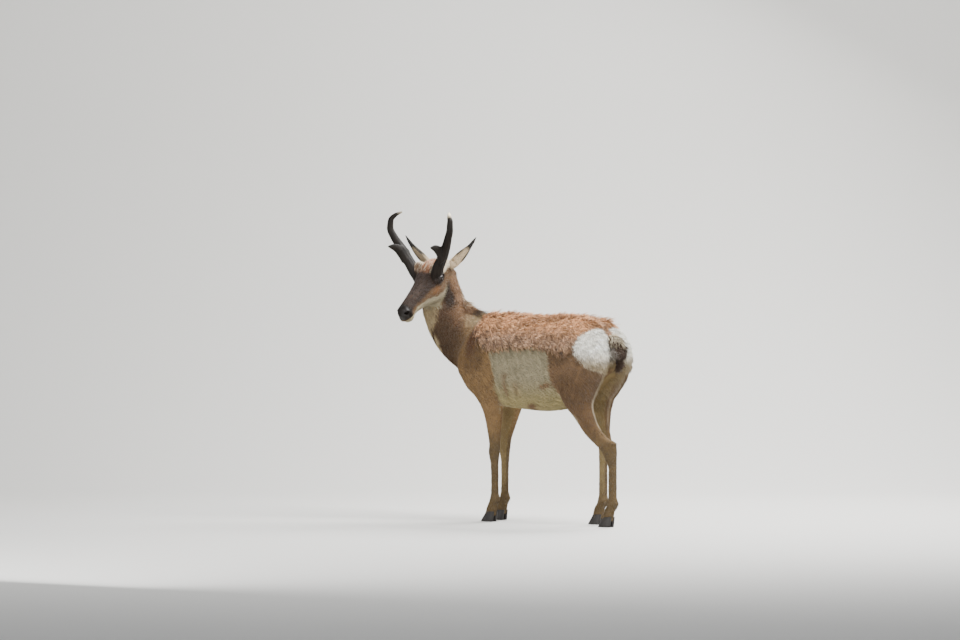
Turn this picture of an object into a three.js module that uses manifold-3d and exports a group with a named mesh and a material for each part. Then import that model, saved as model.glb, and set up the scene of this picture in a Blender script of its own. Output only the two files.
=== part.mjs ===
// A life-size pronghorn buck, standing with its head turned to its left. Millimetres, +Z up.
// The animal faces -Y, its left side is +X, and the ground is Z = 0.
import * as THREE from "three";
import { mergeVertices } from "three/addons/utils/BufferGeometryUtils.js";
import Module from "manifold-3d";

const wasm = await Module();
wasm.setup();

// Driving sizes. Every place below is measured from the point on the ground under the middle of the back.
const GAP = 0.3; // between neighbouring pieces
const SHIFT = { x: -61.8, y: 137.4 }; // puts the origin under the middle of the whole animal
const WITHERS = 858; // height of the back over the shoulders, without its coat
const HEAD_LENGTH = 324; // crown to the tip of the nose
const HEAD_PITCH = 36; // degrees that the muzzle points below level
const HEAD_TURN = 93; // degrees that the head is turned to the animal's left
const SKULL = [14, -563, 1049]; // the crown, in the middle of the head
const EYE_RADIUS = 18;
const TAIL_LENGTH = 118;
const TAIL_ROOT = [0, 372, 776];

const COLOURS = {
  coat: [0x8a6240, 0.9],
  back: [0x8f5a3c, 0.95],
  neck: [0x84603f, 0.9],
  face: [0x3d2f28, 0.85],
  horn: [0x1f1a16, 0.55],
  ear: [0x9a8468, 0.9],
  eye: [0x120d0a, 0.15],
  hoof: [0x1c1815, 0.5],
};

const vec = (x, y, z) => new THREE.Vector3(x, y, z);
const at = (a) => vec(a[0], a[1], a[2]);
const mix = (a, b, t) => a + (b - a) * t;
const clamp01 = (t) => Math.min(1, Math.max(0, t));
const smooth = (t) => clamp01(t) ** 2 * (3 - 2 * clamp01(t));
const signedPower = (v, p) => Math.sign(v) * Math.abs(v) ** p;

// Repeatable draws between 0 and 1.
function draws(seed) {
  let state = seed >>> 0;
  return () => {
    state = (Math.imul(state, 1664525) + 1013904223) >>> 0;
    return state / 4294967296;
  };
}

// Rows of [place, values...] read at t with a smooth curve that doesn't overshoot its rows much.
function read(rows, t) {
  const n = rows.length;
  let i = 0;
  while (i < n - 2 && t > rows[i + 1][0]) i += 1;
  const [p, q] = [rows[i], rows[i + 1]];
  const h = q[0] - p[0];
  const s = clamp01((t - p[0]) / h);
  const slope = (k, c) => {
    const [a, b, d] = [rows[Math.max(0, k - 1)], rows[k], rows[Math.min(n - 1, k + 1)]];
    const before = k > 0 ? (b[c] - a[c]) / (b[0] - a[0]) : (d[c] - b[c]) / (d[0] - b[0]);
    const after = k < n - 1 ? (d[c] - b[c]) / (d[0] - b[0]) : before;
    return before * after <= 0 ? 0 : (2 * before * after) / (before + after);
  };
  return p.slice(1).map((v, k) => {
    const c = k + 1;
    const [m0, m1] = [slope(i, c) * h, slope(i + 1, c) * h];
    const [s2, s3] = [s * s, s * s * s];
    return (2 * s3 - 3 * s2 + 1) * v + (s3 - 2 * s2 + s) * m0 + (3 * s2 - 2 * s3) * q[c] + (s3 - s2) * m1;
  });
}

// Even steps of t over the rows, with both ends.
const steps = (from, to, count) => Array.from({ length: count + 1 }, (_, i) => mix(from, to, i / count));

// A closed solid through rings of points, each end drawn to a point.
function skin(rings, startTip, endTip) {
  const sides = rings[0].length;
  const points = [startTip, ...rings.flat(), endTip];
  const index = [];
  const last = points.length - 1;
  const id = (r, s) => 1 + r * sides + (s % sides);
  for (let s = 0; s < sides; s += 1) {
    index.push(0, id(0, s + 1), id(0, s));
    for (let r = 0; r < rings.length - 1; r += 1) {
      index.push(id(r, s), id(r, s + 1), id(r + 1, s + 1), id(r, s), id(r + 1, s + 1), id(r + 1, s));
    }
    index.push(last, id(rings.length - 1, s), id(rings.length - 1, s + 1));
  }
  const made = new THREE.BufferGeometry();
  made.setAttribute("position", new THREE.Float32BufferAttribute(points.flatMap((p) => [p.x, p.y, p.z]), 3));
  made.setIndex(index);
  return made;
}

// The manifold solid of a three.js geometry, turned the right way out.
function solid(geometry) {
  const g = geometry.clone();
  g.deleteAttribute("normal");
  g.deleteAttribute("uv");
  const merged = mergeVertices(g, 1e-4);
  const build = (flip) => {
    const tri = new Uint32Array(merged.index.array);
    if (flip) for (let i = 0; i < tri.length; i += 3) [tri[i], tri[i + 1]] = [tri[i + 1], tri[i]];
    return new wasm.Manifold(
      new wasm.Mesh({ numProp: 3, vertProperties: new Float32Array(merged.attributes.position.array), triVerts: tri }),
    );
  };
  const made = build(false);
  return made.volume() < 0 ? build(true) : made;
}

const union = (list) => list.reduce((a, b) => a.add(b));

// A node keeps only its largest closed surface.
function largest(shape) {
  return shape.decompose().reduce((a, b) => (a.volume() > b.volume() ? a : b));
}

// One ring: an oval of the two half sizes about a centre, on two unit directions; n over 2 squares it.
function ring(centre, side, up, halfSide, halfUp, sides, n = 2, pear = 0) {
  return Array.from({ length: sides }, (_, k) => {
    const angle = (2 * Math.PI * (k + 0.5)) / sides;
    const s = signedPower(Math.sin(angle), 2 / n);
    const c = signedPower(Math.cos(angle), 2 / n) * (1 - pear * s);
    return centre.clone().addScaledVector(side, halfSide * c).addScaledVector(up, halfUp * s);
  });
}

const [X, Y, Z] = [vec(1, 0, 0), vec(0, 1, 0), vec(0, 0, 1)];

// Rows of [y, top, bottom, half width, pear] along the body.
const TORSO = [
  [-438, 700, 610, 42, 0],
  [-415, 752, 570, 74, 0],
  [-370, 815, 522, 102, 0.04],
  [-310, 848, 492, 118, 0.06],
  [-220, WITHERS, 476, 127, 0.08],
  [-110, WITHERS - 6, 468, 140, 0.1],
  [0, WITHERS - 8, 463, 149, 0.1],
  [90, WITHERS - 2, 470, 146, 0.08],
  [180, WITHERS, 508, 138, 0.02],
  [250, 846, 560, 126, 0],
  [310, 818, 610, 106, 0],
  [355, 782, 650, 80, 0],
  [384, 742, 690, 42, 0],
];

function torsoCore() {
  const sides = 28;
  const rings = steps(TORSO[0][0], TORSO.at(-1)[0], 24).map((y) => {
    const [top, bottom, half, pear] = read(TORSO, y);
    return ring(vec(0, y, (top + bottom) / 2), X, Z, half, (top - bottom) / 2, sides, 2.25, pear);
  });
  return solid(skin(rings, vec(0, TORSO[0][0] - 6, 655), vec(0, TORSO.at(-1)[0] + 6, 716)));
}

// Rows of [share of the way up, x, y, z, half depth, half width] from the chest to the back of the skull.
const NECK = [
  [0, 0, -352, 722, 128, 92],
  [0.22, 0, -432, 752, 124, 88],
  [0.42, 0, -496, 796, 116, 80],
  [0.6, 0, -536, 846, 107, 72],
  [0.78, 4, -560, 906, 94, 64],
  [0.92, 10, -568, 972, 80, 56],
  [1, 16, -566, 1022, 66, 52],
];

const neckPoint = (t) => at(read(NECK, t).slice(0, 3));

// The neck's own directions at a share of its length: along it, its side, and towards its crest.
function neckFrame(t) {
  const along = neckPoint(Math.min(1, t + 0.04)).sub(neckPoint(Math.max(0, t - 0.04))).normalize();
  const twist = THREE.MathUtils.degToRad(28) * smooth((t - 0.45) / 0.55);
  const side = X.clone().applyAxisAngle(along, twist);
  side.addScaledVector(along, -side.dot(along)).normalize();
  const crest = new THREE.Vector3().crossVectors(along, side).normalize();
  return { along, side, crest };
}

function neckCore() {
  const sides = 22;
  const rings = steps(0, 1, 12).map((t) => {
    const [, , , depth, width] = read(NECK, t);
    const { side, crest } = neckFrame(t);
    return ring(neckPoint(t), side, crest, width, depth, sides, 2, 0.12);
  });
  return solid(skin(rings, neckPoint(0), neckPoint(1)));
}

// The head's own frame: forward along the muzzle, up through the brow, and its left.
const turn = THREE.MathUtils.degToRad(HEAD_TURN);
const pitch = THREE.MathUtils.degToRad(HEAD_PITCH);
const FACING = vec(Math.sin(turn), -Math.cos(turn), 0);
const MUZZLE = FACING.clone().multiplyScalar(Math.cos(pitch)).addScaledVector(Z, -Math.sin(pitch));
const BROW = FACING.clone().multiplyScalar(Math.sin(pitch)).addScaledVector(Z, Math.cos(pitch));
const HEAD_LEFT = new THREE.Vector3().crossVectors(BROW, MUZZLE).normalize();

const inHead = (along, up, left) =>
  at(SKULL).addScaledVector(MUZZLE, along).addScaledVector(BROW, up).addScaledVector(HEAD_LEFT, left);

// The horns and ears rise from the level head: forward, upward and outward from the brow's middle.
const BROW_MID = vec(120, -559, 1050);
const overBrow = (forward, upward, left) =>
  BROW_MID.clone().addScaledVector(FACING, forward).addScaledVector(Z, upward).addScaledVector(HEAD_LEFT, left);

// Rows of [distance along the head, top, bottom, half width, pear]: a deep cheek that runs to a slim muzzle.
const HEAD = [
  [-26, 10, -44, 30, 0.1],
  [0, 40, -58, 46, 0.1],
  [30, 60, -74, 55, 0.1],
  [62, 66, -86, 58, 0.02],
  [100, 62, -94, 58, -0.04],
  [138, 52, -88, 51, -0.04],
  [175, 43, -70, 42, 0.02],
  [220, 37, -54, 35, 0.06],
  [264, 34, -45, 31, 0.04],
  [297, 30, -44, 32, 0],
  [314, 22, -40, 30, 0],
  [HEAD_LENGTH, 8, -36, 20, 0],
];

function headCore() {
  const sides = 20;
  const rings = steps(HEAD[0][0], HEAD_LENGTH, 22).map((a) => {
    const [top, bottom, half, pear] = read(HEAD, a);
    return ring(inHead(a, (top + bottom) / 2, 0), HEAD_LEFT, BROW, half, (top - bottom) / 2, sides, 2.2, -pear);
  });
  return solid(skin(rings, inHead(HEAD[0][0] - 6, -16, 0), inHead(HEAD_LENGTH + 3, -14, 0)));
}

// An oval ball in the head's directions.
function headBall(along, up, left, radii, rows = 6) {
  const g = new THREE.SphereGeometry(1, 2 * rows, rows);
  const basis = new THREE.Matrix4().makeBasis(
    MUZZLE.clone().multiplyScalar(radii[0]),
    BROW.clone().multiplyScalar(radii[1]),
    HEAD_LEFT.clone().multiplyScalar(-radii[2]),
  );
  basis.setPosition(inHead(along, up, left));
  g.applyMatrix4(basis);
  return solid(g);
}

const EYE_ALONG = 92;
const EYE_UP = 17;
const EYE_OUT = 56;
const EYE = [EYE_RADIUS, EYE_RADIUS, EYE_RADIUS];

// The brows, cheeks, nose and chin.
function headMass() {
  let shape = headCore();
  for (const s of [-1, 1]) {
    shape = shape.add(headBall(EYE_ALONG, EYE_UP + 2, s * 47, [33, 27, 28], 8));
    shape = shape.add(headBall(EYE_ALONG - 12, EYE_UP + 32, s * 50, [31, 24, 22]));
    shape = shape.add(headBall(80, -56, s * 27, [54, 36, 26]));
    shape = shape.add(headBall(4, 10, s * 42, [24, 24, 18]));
  }
  shape = shape.add(headBall(HEAD_LENGTH - 14, 3, 0, [18, 22, 29]));
  return shape.add(headBall(HEAD_LENGTH - 26, -40, 0, [22, 12, 21]));
}

// The head with its lids, eye sockets, nostrils and mouth line.
function head() {
  let shape = headMass();
  for (const s of [-1, 1]) {
    shape = shape.subtract(headBall(EYE_ALONG, EYE_UP, s * (EYE_OUT + 19), [19, 12.5, 16], 8));
    shape = shape.subtract(headBall(EYE_ALONG, EYE_UP, s * EYE_OUT, EYE.map((r) => r + GAP), 8));
    shape = shape.subtract(headBall(HEAD_LENGTH - 8, 6, s * 24, [9, 5, 9]));
    shape = shape.subtract(headBall(HEAD_LENGTH - 34, -32, s * 30, [38, 1.8, 7]));
  }
  return largest(shape);
}

// Rows of [share of the way up, forward, upward, outward, half depth, half width] for a horn, over the brow's middle.
const HORN = [
  [0, -14, -48, 46, 24, 17],
  [0.12, -5, -18, 60, 29, 19],
  [0.22, 0, 4, 71, 29, 19],
  [0.38, 6, 42, 95, 27, 17.5],
  [0.53, 12, 80, 117, 22, 15.5],
  [0.7, 28, 125, 143, 17, 14.5],
  [0.83, 35, 165, 158, 14.5, 12.5],
  [0.91, 32, 195, 157, 12, 11],
  [0.96, 20, 216, 143, 9, 8],
  [1, -1, 228, 126, 4, 4],
];

function hornPoint(t, s) {
  const [forward, upward, outward] = read(HORN, t);
  return overBrow(forward, upward, s * outward);
}

function horn(s) {
  const rings = steps(0, 1, 17).map((t) => {
    const [, , , depth, width] = read(HORN, t);
    const along = hornPoint(Math.min(1, t + 0.03), s).sub(hornPoint(Math.max(0, t - 0.03), s)).normalize();
    const front = FACING.clone().addScaledVector(along, -FACING.dot(along)).normalize();
    const side = new THREE.Vector3().crossVectors(along, front).normalize();
    return ring(hornPoint(t, s), side, front, width, depth, 12, 2.2);
  });
  const beam = solid(skin(rings, hornPoint(0, s), hornPoint(1, s).addScaledVector(HEAD_LEFT, -s * 5)));
  return beam.add(prong(s));
}

// The prong: a flat blade that grows from the front of the beam and ends in a forward, slightly raised point.
const PRONG_TIP = [106, 88, 112];
function prong(s) {
  const root = hornPoint(0.42, s);
  const end = overBrow(PRONG_TIP[0], PRONG_TIP[1], s * PRONG_TIP[2]);
  const rings = steps(0, 1, 6).map((t) => {
    const centre = root.clone().lerp(end, t).addScaledVector(Z, 12 * Math.sin(Math.PI * t) - 6 * (1 - t));
    return ring(centre, HEAD_LEFT, Z, mix(12, 2.2, t), mix(2.5, 32, (1 - t) ** 0.8), 10);
  });
  return solid(skin(rings, root, end.clone().addScaledVector(FACING, 3)));
}

// Rows of [share of the ear, half width, half depth, bend].
const EAR = [
  [0, 15, 14, 0],
  [0.15, 18.5, 15, 0],
  [0.35, 19.5, 14, 0],
  [0.55, 15.5, 11, 1],
  [0.75, 8.5, 7, 4],
  [0.9, 5.5, 4.5, 8],
  [1, 2, 2, 12],
];

// Each ear from its root, as [forward, upward, outward]: the left one is laid back, the right one swung forward.
const EAR_ROOT = [-102, 0, 50];
const EAR_REACH = { left: [-52, 108, 101], right: [48, 112, 98] };

// A cupped leaf: an outer leaf less an inner one moved towards the opening.
function ear(word, s) {
  const root = overBrow(EAR_ROOT[0], EAR_ROOT[1], s * EAR_ROOT[2]);
  const [f, u, o] = EAR_REACH[word];
  const axis = FACING.clone().multiplyScalar(f).addScaledVector(Z, u).addScaledVector(HEAD_LEFT, s * o);
  const length = axis.length();
  axis.normalize();
  const open = FACING.clone().multiplyScalar(0.9).addScaledVector(HEAD_LEFT, s * 0.4);
  open.addScaledVector(axis, -open.dot(axis)).normalize();
  const side = new THREE.Vector3().crossVectors(open, axis).normalize();
  const leaf = (from, inset, shift) => {
    const rings = steps(from, 1, 8).map((t) => {
      const [width, depth, bend] = read(EAR, t);
      const centre = root.clone().addScaledVector(axis, (length - inset * 2) * t);
      centre.addScaledVector(open, shift).addScaledVector(Z, bend).addScaledVector(HEAD_LEFT, -s * bend * 0.5);
      return ring(centre, side, open, Math.max(0.6, width - inset), Math.max(0.6, depth - inset * 0.7), 12);
    });
    const middle = (r) => r[0].clone().lerp(r[6], 0.5);
    return solid(skin(rings, middle(rings[0]), middle(rings.at(-1))));
  };
  return largest(leaf(0, 0, 0).subtract(leaf(0.14, 3.2, 9)));
}

// Rows of [z, front, back, inner side, outer side] in level slices, from the pastern to the top of the limb.
const SHANK = {
  fore_left: [
    [30, -272, -216, 45, 87],
    [66, -258, -210, 46, 86],
    [93, -247, -196, 46, 84],
    [125, -241, -203, 50, 80],
    [180, -240, -204, 50, 80],
    [240, -242, -203, 50, 82],
    [290, -250, -198, 45, 88],
    [320, -248, -195, 46, 88],
    [380, -255, -188, 44, 95],
    [443, -268, -180, 40, 104],
    [490, -290, -178, 36, 110],
    [530, -320, -176, 33, 118],
    [580, -368, -182, 30, 125],
  ],
  fore_right: [
    [30, -322, -266, 36, 78],
    [66, -308, -260, 37, 77],
    [93, -297, -246, 37, 75],
    [125, -291, -253, 41, 71],
    [180, -290, -254, 42, 72],
    [240, -292, -253, 42, 74],
    [300, -300, -248, 38, 80],
    [338, -297, -242, 38, 82],
    [380, -298, -230, 38, 90],
    [443, -305, -207, 36, 102],
    [490, -320, -192, 34, 110],
    [530, -340, -190, 32, 118],
    [580, -374, -188, 30, 125],
  ],
  hind_left: [
    [30, 370, 426, 47, 89],
    [66, 383, 434, 48, 88],
    [95, 399, 453, 48, 88],
    [130, 405, 447, 54, 86],
    [240, 406, 447, 54, 86],
    [280, 388, 447, 52, 88],
    [315, 366, 448, 50, 90],
    [345, 328, 446, 50, 92],
    [371, 294, 396, 50, 95],
    [400, 266, 364, 48, 100],
    [440, 237, 338, 42, 110],
    [500, 184, 320, 32, 125],
    [560, 150, 345, 20, 137],
    [620, 132, 376, 10, 144],
  ],
  hind_right: [
    [30, 206, 262, 40, 82],
    [66, 219, 270, 41, 81],
    [95, 235, 289, 41, 81],
    [130, 241, 283, 46, 78],
    [240, 242, 283, 46, 78],
    [300, 240, 294, 44, 82],
    [340, 230, 303, 44, 86],
    [371, 214, 296, 44, 90],
    [400, 198, 289, 43, 96],
    [453, 158, 288, 38, 110],
    [516, 112, 300, 30, 126],
    [560, 100, 335, 20, 136],
    [620, 100, 374, 10, 144],
  ],
};

// The top of each limb is the same on both sides: the shoulder over the chest, the haunch over the hip.
const LIMB_TOP = {
  fore: [
    [640, -404, -196, 26, 128],
    [690, -400, -205, 22, 127],
    [740, -366, -207, 20, 119],
    [800, -322, -208, 15, 94],
    [836, -290, -215, 18, 58],
  ],
  hind: [
    [690, 126, 390, 6, 142],
    [745, 146, 382, 6, 130],
    [800, 180, 345, 12, 100],
    [832, 210, 300, 25, 70],
  ],
};

const LEGS = {
  fore_left: { side: 1, kind: "fore", foot: [66, -242] },
  fore_right: { side: -1, kind: "fore", foot: [57, -292] },
  hind_left: { side: 1, kind: "hind", foot: [68, 401] },
  hind_right: { side: -1, kind: "hind", foot: [61, 236] },
};

// A whole limb as level slices, closer together where its rows are.
function limb(name) {
  const { side, kind } = LEGS[name];
  const rows = [...SHANK[name], ...LIMB_TOP[kind]];
  const levels = rows.slice(1).flatMap((row, i) => {
    const count = Math.ceil((row[0] - rows[i][0]) / 50);
    return steps(rows[i][0], row[0], count).slice(i ? 1 : 0);
  });
  const rings = levels.map((z) => {
    const [front, back, inner, outer] = read(rows, z);
    const centre = vec((side * (inner + outer)) / 2, (front + back) / 2, z);
    return ring(centre, X, Y, (outer - inner) / 2, (back - front) / 2, 16, z < 330 ? 2 : 2.2);
  });
  const middle = (r) => r[0].clone().lerp(r[8], 0.5);
  return solid(skin(rings, middle(rings[0]), middle(rings.at(-1)).addScaledVector(Z, 4)));
}

// Rows of [share of the tail, back, down, half thickness, half width].
const TAIL = [
  [0, -14, 0, 15, 20],
  [0.2, 10, 6, 17, 24],
  [0.5, 24, 46, 15, 24],
  [0.8, 24, 84, 10, 17],
  [1, 18, TAIL_LENGTH - 16, 4, 7],
];

// The tail and its hair, in locks that hang close round it.
const TAIL_HAIR = { rows: 2, across: 3, length: 60, width: 32, thick: 9 };
function tail() {
  const place = (t) => {
    const [back, down] = read(TAIL, t);
    return at(TAIL_ROOT).add(vec(0, back, -down));
  };
  const frameAt = (t) => {
    const along = place(Math.min(1, t + 0.08)).sub(place(Math.max(0, t - 0.08))).normalize();
    const behind = new THREE.Vector3().crossVectors(along, X).normalize();
    return { along, behind };
  };
  const rings = steps(0, 1, 8).map((t) => {
    const [, , thick, width] = read(TAIL, t);
    return ring(place(t), X, frameAt(t).behind, width, thick, 10);
  });
  const core = solid(skin(rings, place(0), place(1).add(vec(0, -2, -8))));
  const draw = draws(43);
  const hair = steps(0.3, 0.62, TAIL_HAIR.rows - 1).flatMap((t) =>
    steps(-1.2, 1.2, TAIL_HAIR.across - 1).map((angle) => {
      const { along, behind } = frameAt(t);
      const [, , thick, width] = read(TAIL, t);
      const facing = behind.y < 0 ? behind.clone().negate() : behind;
      const out = facing.clone().multiplyScalar(Math.cos(angle)).addScaledVector(X, Math.sin(angle)).normalize();
      const root = place(t).addScaledVector(facing, thick * Math.cos(angle)).addScaledVector(X, width * Math.sin(angle));
      const lie = along.clone().addScaledVector(out, 0.05).normalize();
      return lock({ root, lie, out }, TAIL_HAIR.length * (0.9 + 0.3 * draw()), TAIL_HAIR.width, TAIL_HAIR.thick, 0.08);
    }),
  );
  return union([core, ...hair]);
}

// Two claws with flat soles; each is a wedge with a rounded wall that slopes back from its toe.
const CLAW = { length: 66, width: 19, height: 42, sides: 14 };
function claw(name, inner) {
  const leg = LEGS[name];
  const [x, y] = leg.foot;
  const offset = inner ? -1 : 1;
  const centreX = leg.side * x + offset * 11;
  const rings = steps(0, 1, 3).map((t) => {
    const lean = mix(-14, 4, t);
    const length = mix(CLAW.length / 2, 21, t);
    const half = mix(CLAW.width / 2, CLAW.width / 2 - 1, t);
    return Array.from({ length: CLAW.sides }, (_, k) => {
      const angle = (2 * Math.PI * (k + 0.5)) / CLAW.sides;
      const c = Math.cos(angle);
      const point = c > 0 ? c ** 1.0 : -signedPower(-c, 0.7);
      const width = half * signedPower(Math.sin(angle), 0.9) * (c > 0 ? 1 - 0.25 * c : 1);
      return vec(centreX + width, y + lean - point * length, t * CLAW.height);
    });
  });
  return solid(skin(rings, vec(centreX, y - 14, 0), vec(centreX, y + 4, CLAW.height)));
}

// A flat, tapered lock of hair from a sunk root: it rises off the skin, lies over and comes to a point.
// Settle moves a place on its straight line onto the skin, where the lock bends with the body.
function lock({ root, lie, out }, length, width, thick, lift, settle = (p) => p) {
  const side = new THREE.Vector3().crossVectors(lie, out).normalize();
  const under = (t) => settle(root.clone().addScaledVector(lie, length * t));
  const rings = steps(0, 0.8, 2).map((t) => {
    const rise = length * lift * (1.6 * t - t * t) - thick * 0.5 * (1 - t);
    const w = width * (0.8 + 0.5 * t - 0.95 * t * t);
    return ring(under(t).addScaledVector(out, rise), side, out, w / 2, (thick * (1 - 0.55 * t)) / 2, 4);
  });
  const tip = under(1).addScaledVector(out, length * lift * 0.5);
  return solid(skin(rings, root.clone().addScaledVector(out, -thick * 1.2), tip));
}

// Whether a place is inside the trunk or the top of a limb.
function inFlesh(p) {
  const [top, bottom, half, pear] = read(TORSO, p.y);
  const q = (2 * p.z - top - bottom) / (top - bottom);
  const wide = half * (1 - pear * q);
  if (Math.abs(p.x / wide) ** 2.25 + Math.abs(q) ** 2.25 < 1) return true;
  return Object.entries(LEGS).some(([name, { side, kind }]) => {
    const [front, back, inner, outer] = read([...SHANK[name], ...LIMB_TOP[kind]], p.z);
    const u = (2 * side * p.x - inner - outer) / (outer - inner);
    const v = (2 * p.y - front - back) / (back - front);
    return p.z < 832 && Math.abs(u) ** 2.2 + Math.abs(v) ** 2.2 < 1;
  });
}

// The skin's place on a level ray from the middle of the trunk at y, turned by an angle from straight up.
const RAY_START = 690;
function onTrunk(y, angle) {
  const way = vec(Math.sin(angle), 0, Math.cos(angle));
  let [low, high] = [20, 240];
  for (let i = 0; i < 14; i += 1) {
    const middle = (low + high) / 2;
    if (inFlesh(vec(0, y, RAY_START).addScaledVector(way, middle))) low = middle;
    else high = middle;
  }
  return vec(0, y, RAY_START).addScaledVector(way, low);
}

const onSkin = (p) => onTrunk(Math.min(p.y, 340), Math.atan2(p.x, p.z - RAY_START)).setY(p.y);

// A root on the trunk with its outward direction, and the lie of the coat laid flat on the skin there.
function trunkRoot(y, angle, flow) {
  const along = onTrunk(y + 14, angle).sub(onTrunk(y - 14, angle));
  const round = onTrunk(y, angle + 0.12).sub(onTrunk(y, angle - 0.12));
  const out = new THREE.Vector3().crossVectors(round, along).normalize();
  if (out.dot(vec(Math.sin(angle), 0, Math.cos(angle))) < 0) out.negate();
  const lie = flow.clone().addScaledVector(out, -flow.dot(out)).normalize();
  return { root: onTrunk(y, angle), lie, out };
}

// The shaggy saddle: staggered rows of locks from the midline down both flanks.
const SADDLE = { from: -292, to: 226, rows: 6, across: 7, edge: 1.28, length: 136, width: 84, thick: 15 };
function saddleLocks() {
  const draw = draws(7);
  return steps(0, 1, SADDLE.rows - 1).flatMap((t, row) =>
    steps(-1, 1, SADDLE.across - 1 - (row % 2)).map((u) => {
      const angle = u * SADDLE.edge + (draw() - 0.5) * 0.08;
      const y = mix(SADDLE.from, SADDLE.to, t) + (draw() - 0.5) * 20;
      const flow = vec(0.1 * (draw() - 0.5), 0.93, -0.35 - 0.25 * Math.abs(u));
      const size = 0.9 + 0.25 * draw();
      const lift = 0.07 + 0.05 * draw();
      return lock(trunkRoot(y, angle, flow), SADDLE.length * size, SADDLE.width, SADDLE.thick, lift, onSkin);
    }),
  );
}

// The two white rump patches, whose longer hair stands out behind.
const RUMP = { rows: 2, across: 3, length: 84, width: 60, thick: 14 };
function rumpLocks() {
  const draw = draws(19);
  return [-1, 1].flatMap((s) =>
    steps(0, 1, RUMP.rows - 1).flatMap((t) =>
      steps(0, 1, RUMP.across - 1).map((u) => {
        const root = trunkRoot(mix(292, 344, t), s * mix(0.5, 1.7, u), vec(s * 0.15, 0.75, -0.5 - 0.3 * draw()));
        return lock(root, RUMP.length * (0.85 + 0.3 * draw()), RUMP.width, RUMP.thick, 0.16);
      }),
    ),
  );
}

// The short mane: locks down the crest of the neck that stand up most at its foot.
const MANE = { locks: 6, length: 78, width: 34, thick: 14 };
function maneLocks() {
  const draw = draws(31);
  return steps(0.06, 0.72, MANE.locks - 1).map((t) => {
    const { along, side, crest } = neckFrame(t);
    const depth = read(NECK, t)[3];
    const root = neckPoint(t).addScaledVector(crest, depth - 2);
    root.addScaledVector(side, (draw() - 0.5) * 10);
    const stand = mix(0.75, 0.3, smooth(t / 0.5));
    const lie = along.clone().negate().addScaledVector(crest, stand).normalize();
    const out = new THREE.Vector3().crossVectors(side, lie).normalize();
    if (out.dot(crest) < 0) out.negate();
    return lock({ root, lie, out }, MANE.length * mix(1, 0.7, t), MANE.width, MANE.thick, 0.06);
  });
}

// A very large block that fills the space on the side of a plane that its normal points to.
function beyond(point, normal, grow = 0) {
  const size = 3000;
  const g = new THREE.BoxGeometry(size, size, size);
  g.translate(0, 0, size / 2 - grow);
  g.applyQuaternion(new THREE.Quaternion().setFromUnitVectors(Z, normal.clone().normalize()));
  g.translate(point.x, point.y, point.z);
  return solid(g);
}

// A shape less a neighbour that is swollen a little about a point inside it, which leaves a thin gap.
function clearOf(shape, neighbour, about) {
  const grown = neighbour.translate([-about.x, -about.y, -about.z]).scale(1.015).translate([about.x, about.y, about.z]);
  return largest(shape.subtract(grown).subtract(neighbour));
}

// The body is joined whole and then parted with thin cuts.
const body = {};
{
  let rest = union([
    torsoCore(),
    neckCore(),
    ...Object.keys(LEGS).map(limb),
    ...saddleLocks(),
    ...rumpLocks(),
    ...maneLocks(),
  ]);
  const part = (name, zone) => {
    body[name] = largest(rest.intersect(zone(0)));
    rest = rest.subtract(zone(GAP));
  };
  part("neck", (grow) => beyond(vec(0, -452, 770), vec(0, -0.8, 0.6), grow));
  for (const [name, leg] of Object.entries(LEGS)) {
    const s = leg.side;
    const fore = leg.kind === "fore";
    part(name, (grow) =>
      (fore
        ? beyond(vec(s * 28, 0, 468), vec(s * 0.41, 0, -0.912), grow).intersect(beyond(vec(0, -165, 0), vec(0, -1, 0), grow))
        : beyond(vec(0, 100, 462), vec(0, 0.46, -0.888), grow).intersect(beyond(vec(0, 60, 0), vec(0, 1, 0), grow))
      ).intersect(beyond(vec(s * (GAP - grow), 0, 0), vec(s, 0, 0))),
    );
    body[name] = largest(body[name].intersect(beyond(vec(0, 0, CLAW.height + GAP), Z)));
  }
  body.torso = largest(rest);
}

const group = new THREE.Group();
group.name = "pronghorn";

function place(name, shape, colour) {
  const mesh = shape.getMesh();
  const g = new THREE.BufferGeometry();
  const stride = mesh.numProp;
  const flat = new Float32Array((mesh.vertProperties.length / stride) * 3);
  for (let i = 0; i < flat.length / 3; i += 1) {
    for (let c = 0; c < 3; c += 1) flat[3 * i + c] = mesh.vertProperties[stride * i + c];
  }
  g.setAttribute("position", new THREE.BufferAttribute(flat, 3));
  g.setIndex(new THREE.BufferAttribute(new Uint32Array(mesh.triVerts), 1));
  g.translate(SHIFT.x, SHIFT.y, 0);
  g.computeVertexNormals();
  const [color, roughness] = COLOURS[colour];
  const made = new THREE.Mesh(g, new THREE.MeshStandardMaterial({ color, roughness, metalness: 0 }));
  made.name = name;
  group.add(made);
}

const headSolid = head();
const brain = inHead(62, -8, 0);
const neckSolid = clearOf(body.neck, headSolid, brain);

place("torso", body.torso, "coat");
place("neck", neckSolid, "neck");
place("head", headSolid, "face");
for (const name of Object.keys(LEGS)) {
  place(`leg_${name}`, body[name], "coat");
  place(`hoof_${name}_inner`, claw(name, true), "hoof");
  place(`hoof_${name}_outer`, claw(name, false), "hoof");
}
for (const [word, s] of [["left", 1], ["right", -1]]) {
  place(`horn_${word}`, clearOf(horn(s), headMass(), inHead(84, 8, s * 40)), "horn");
  place(`ear_${word}`, clearOf(clearOf(ear(word, s), headSolid, brain), neckSolid, neckPoint(0.9)), "ear");
  place(`eye_${word}`, headBall(EYE_ALONG, EYE_UP, s * EYE_OUT, EYE, 8), "eye");
}
place("tail", clearOf(tail(), body.torso, vec(0, 320, 730)), "back");

export default group;
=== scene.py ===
import math

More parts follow.
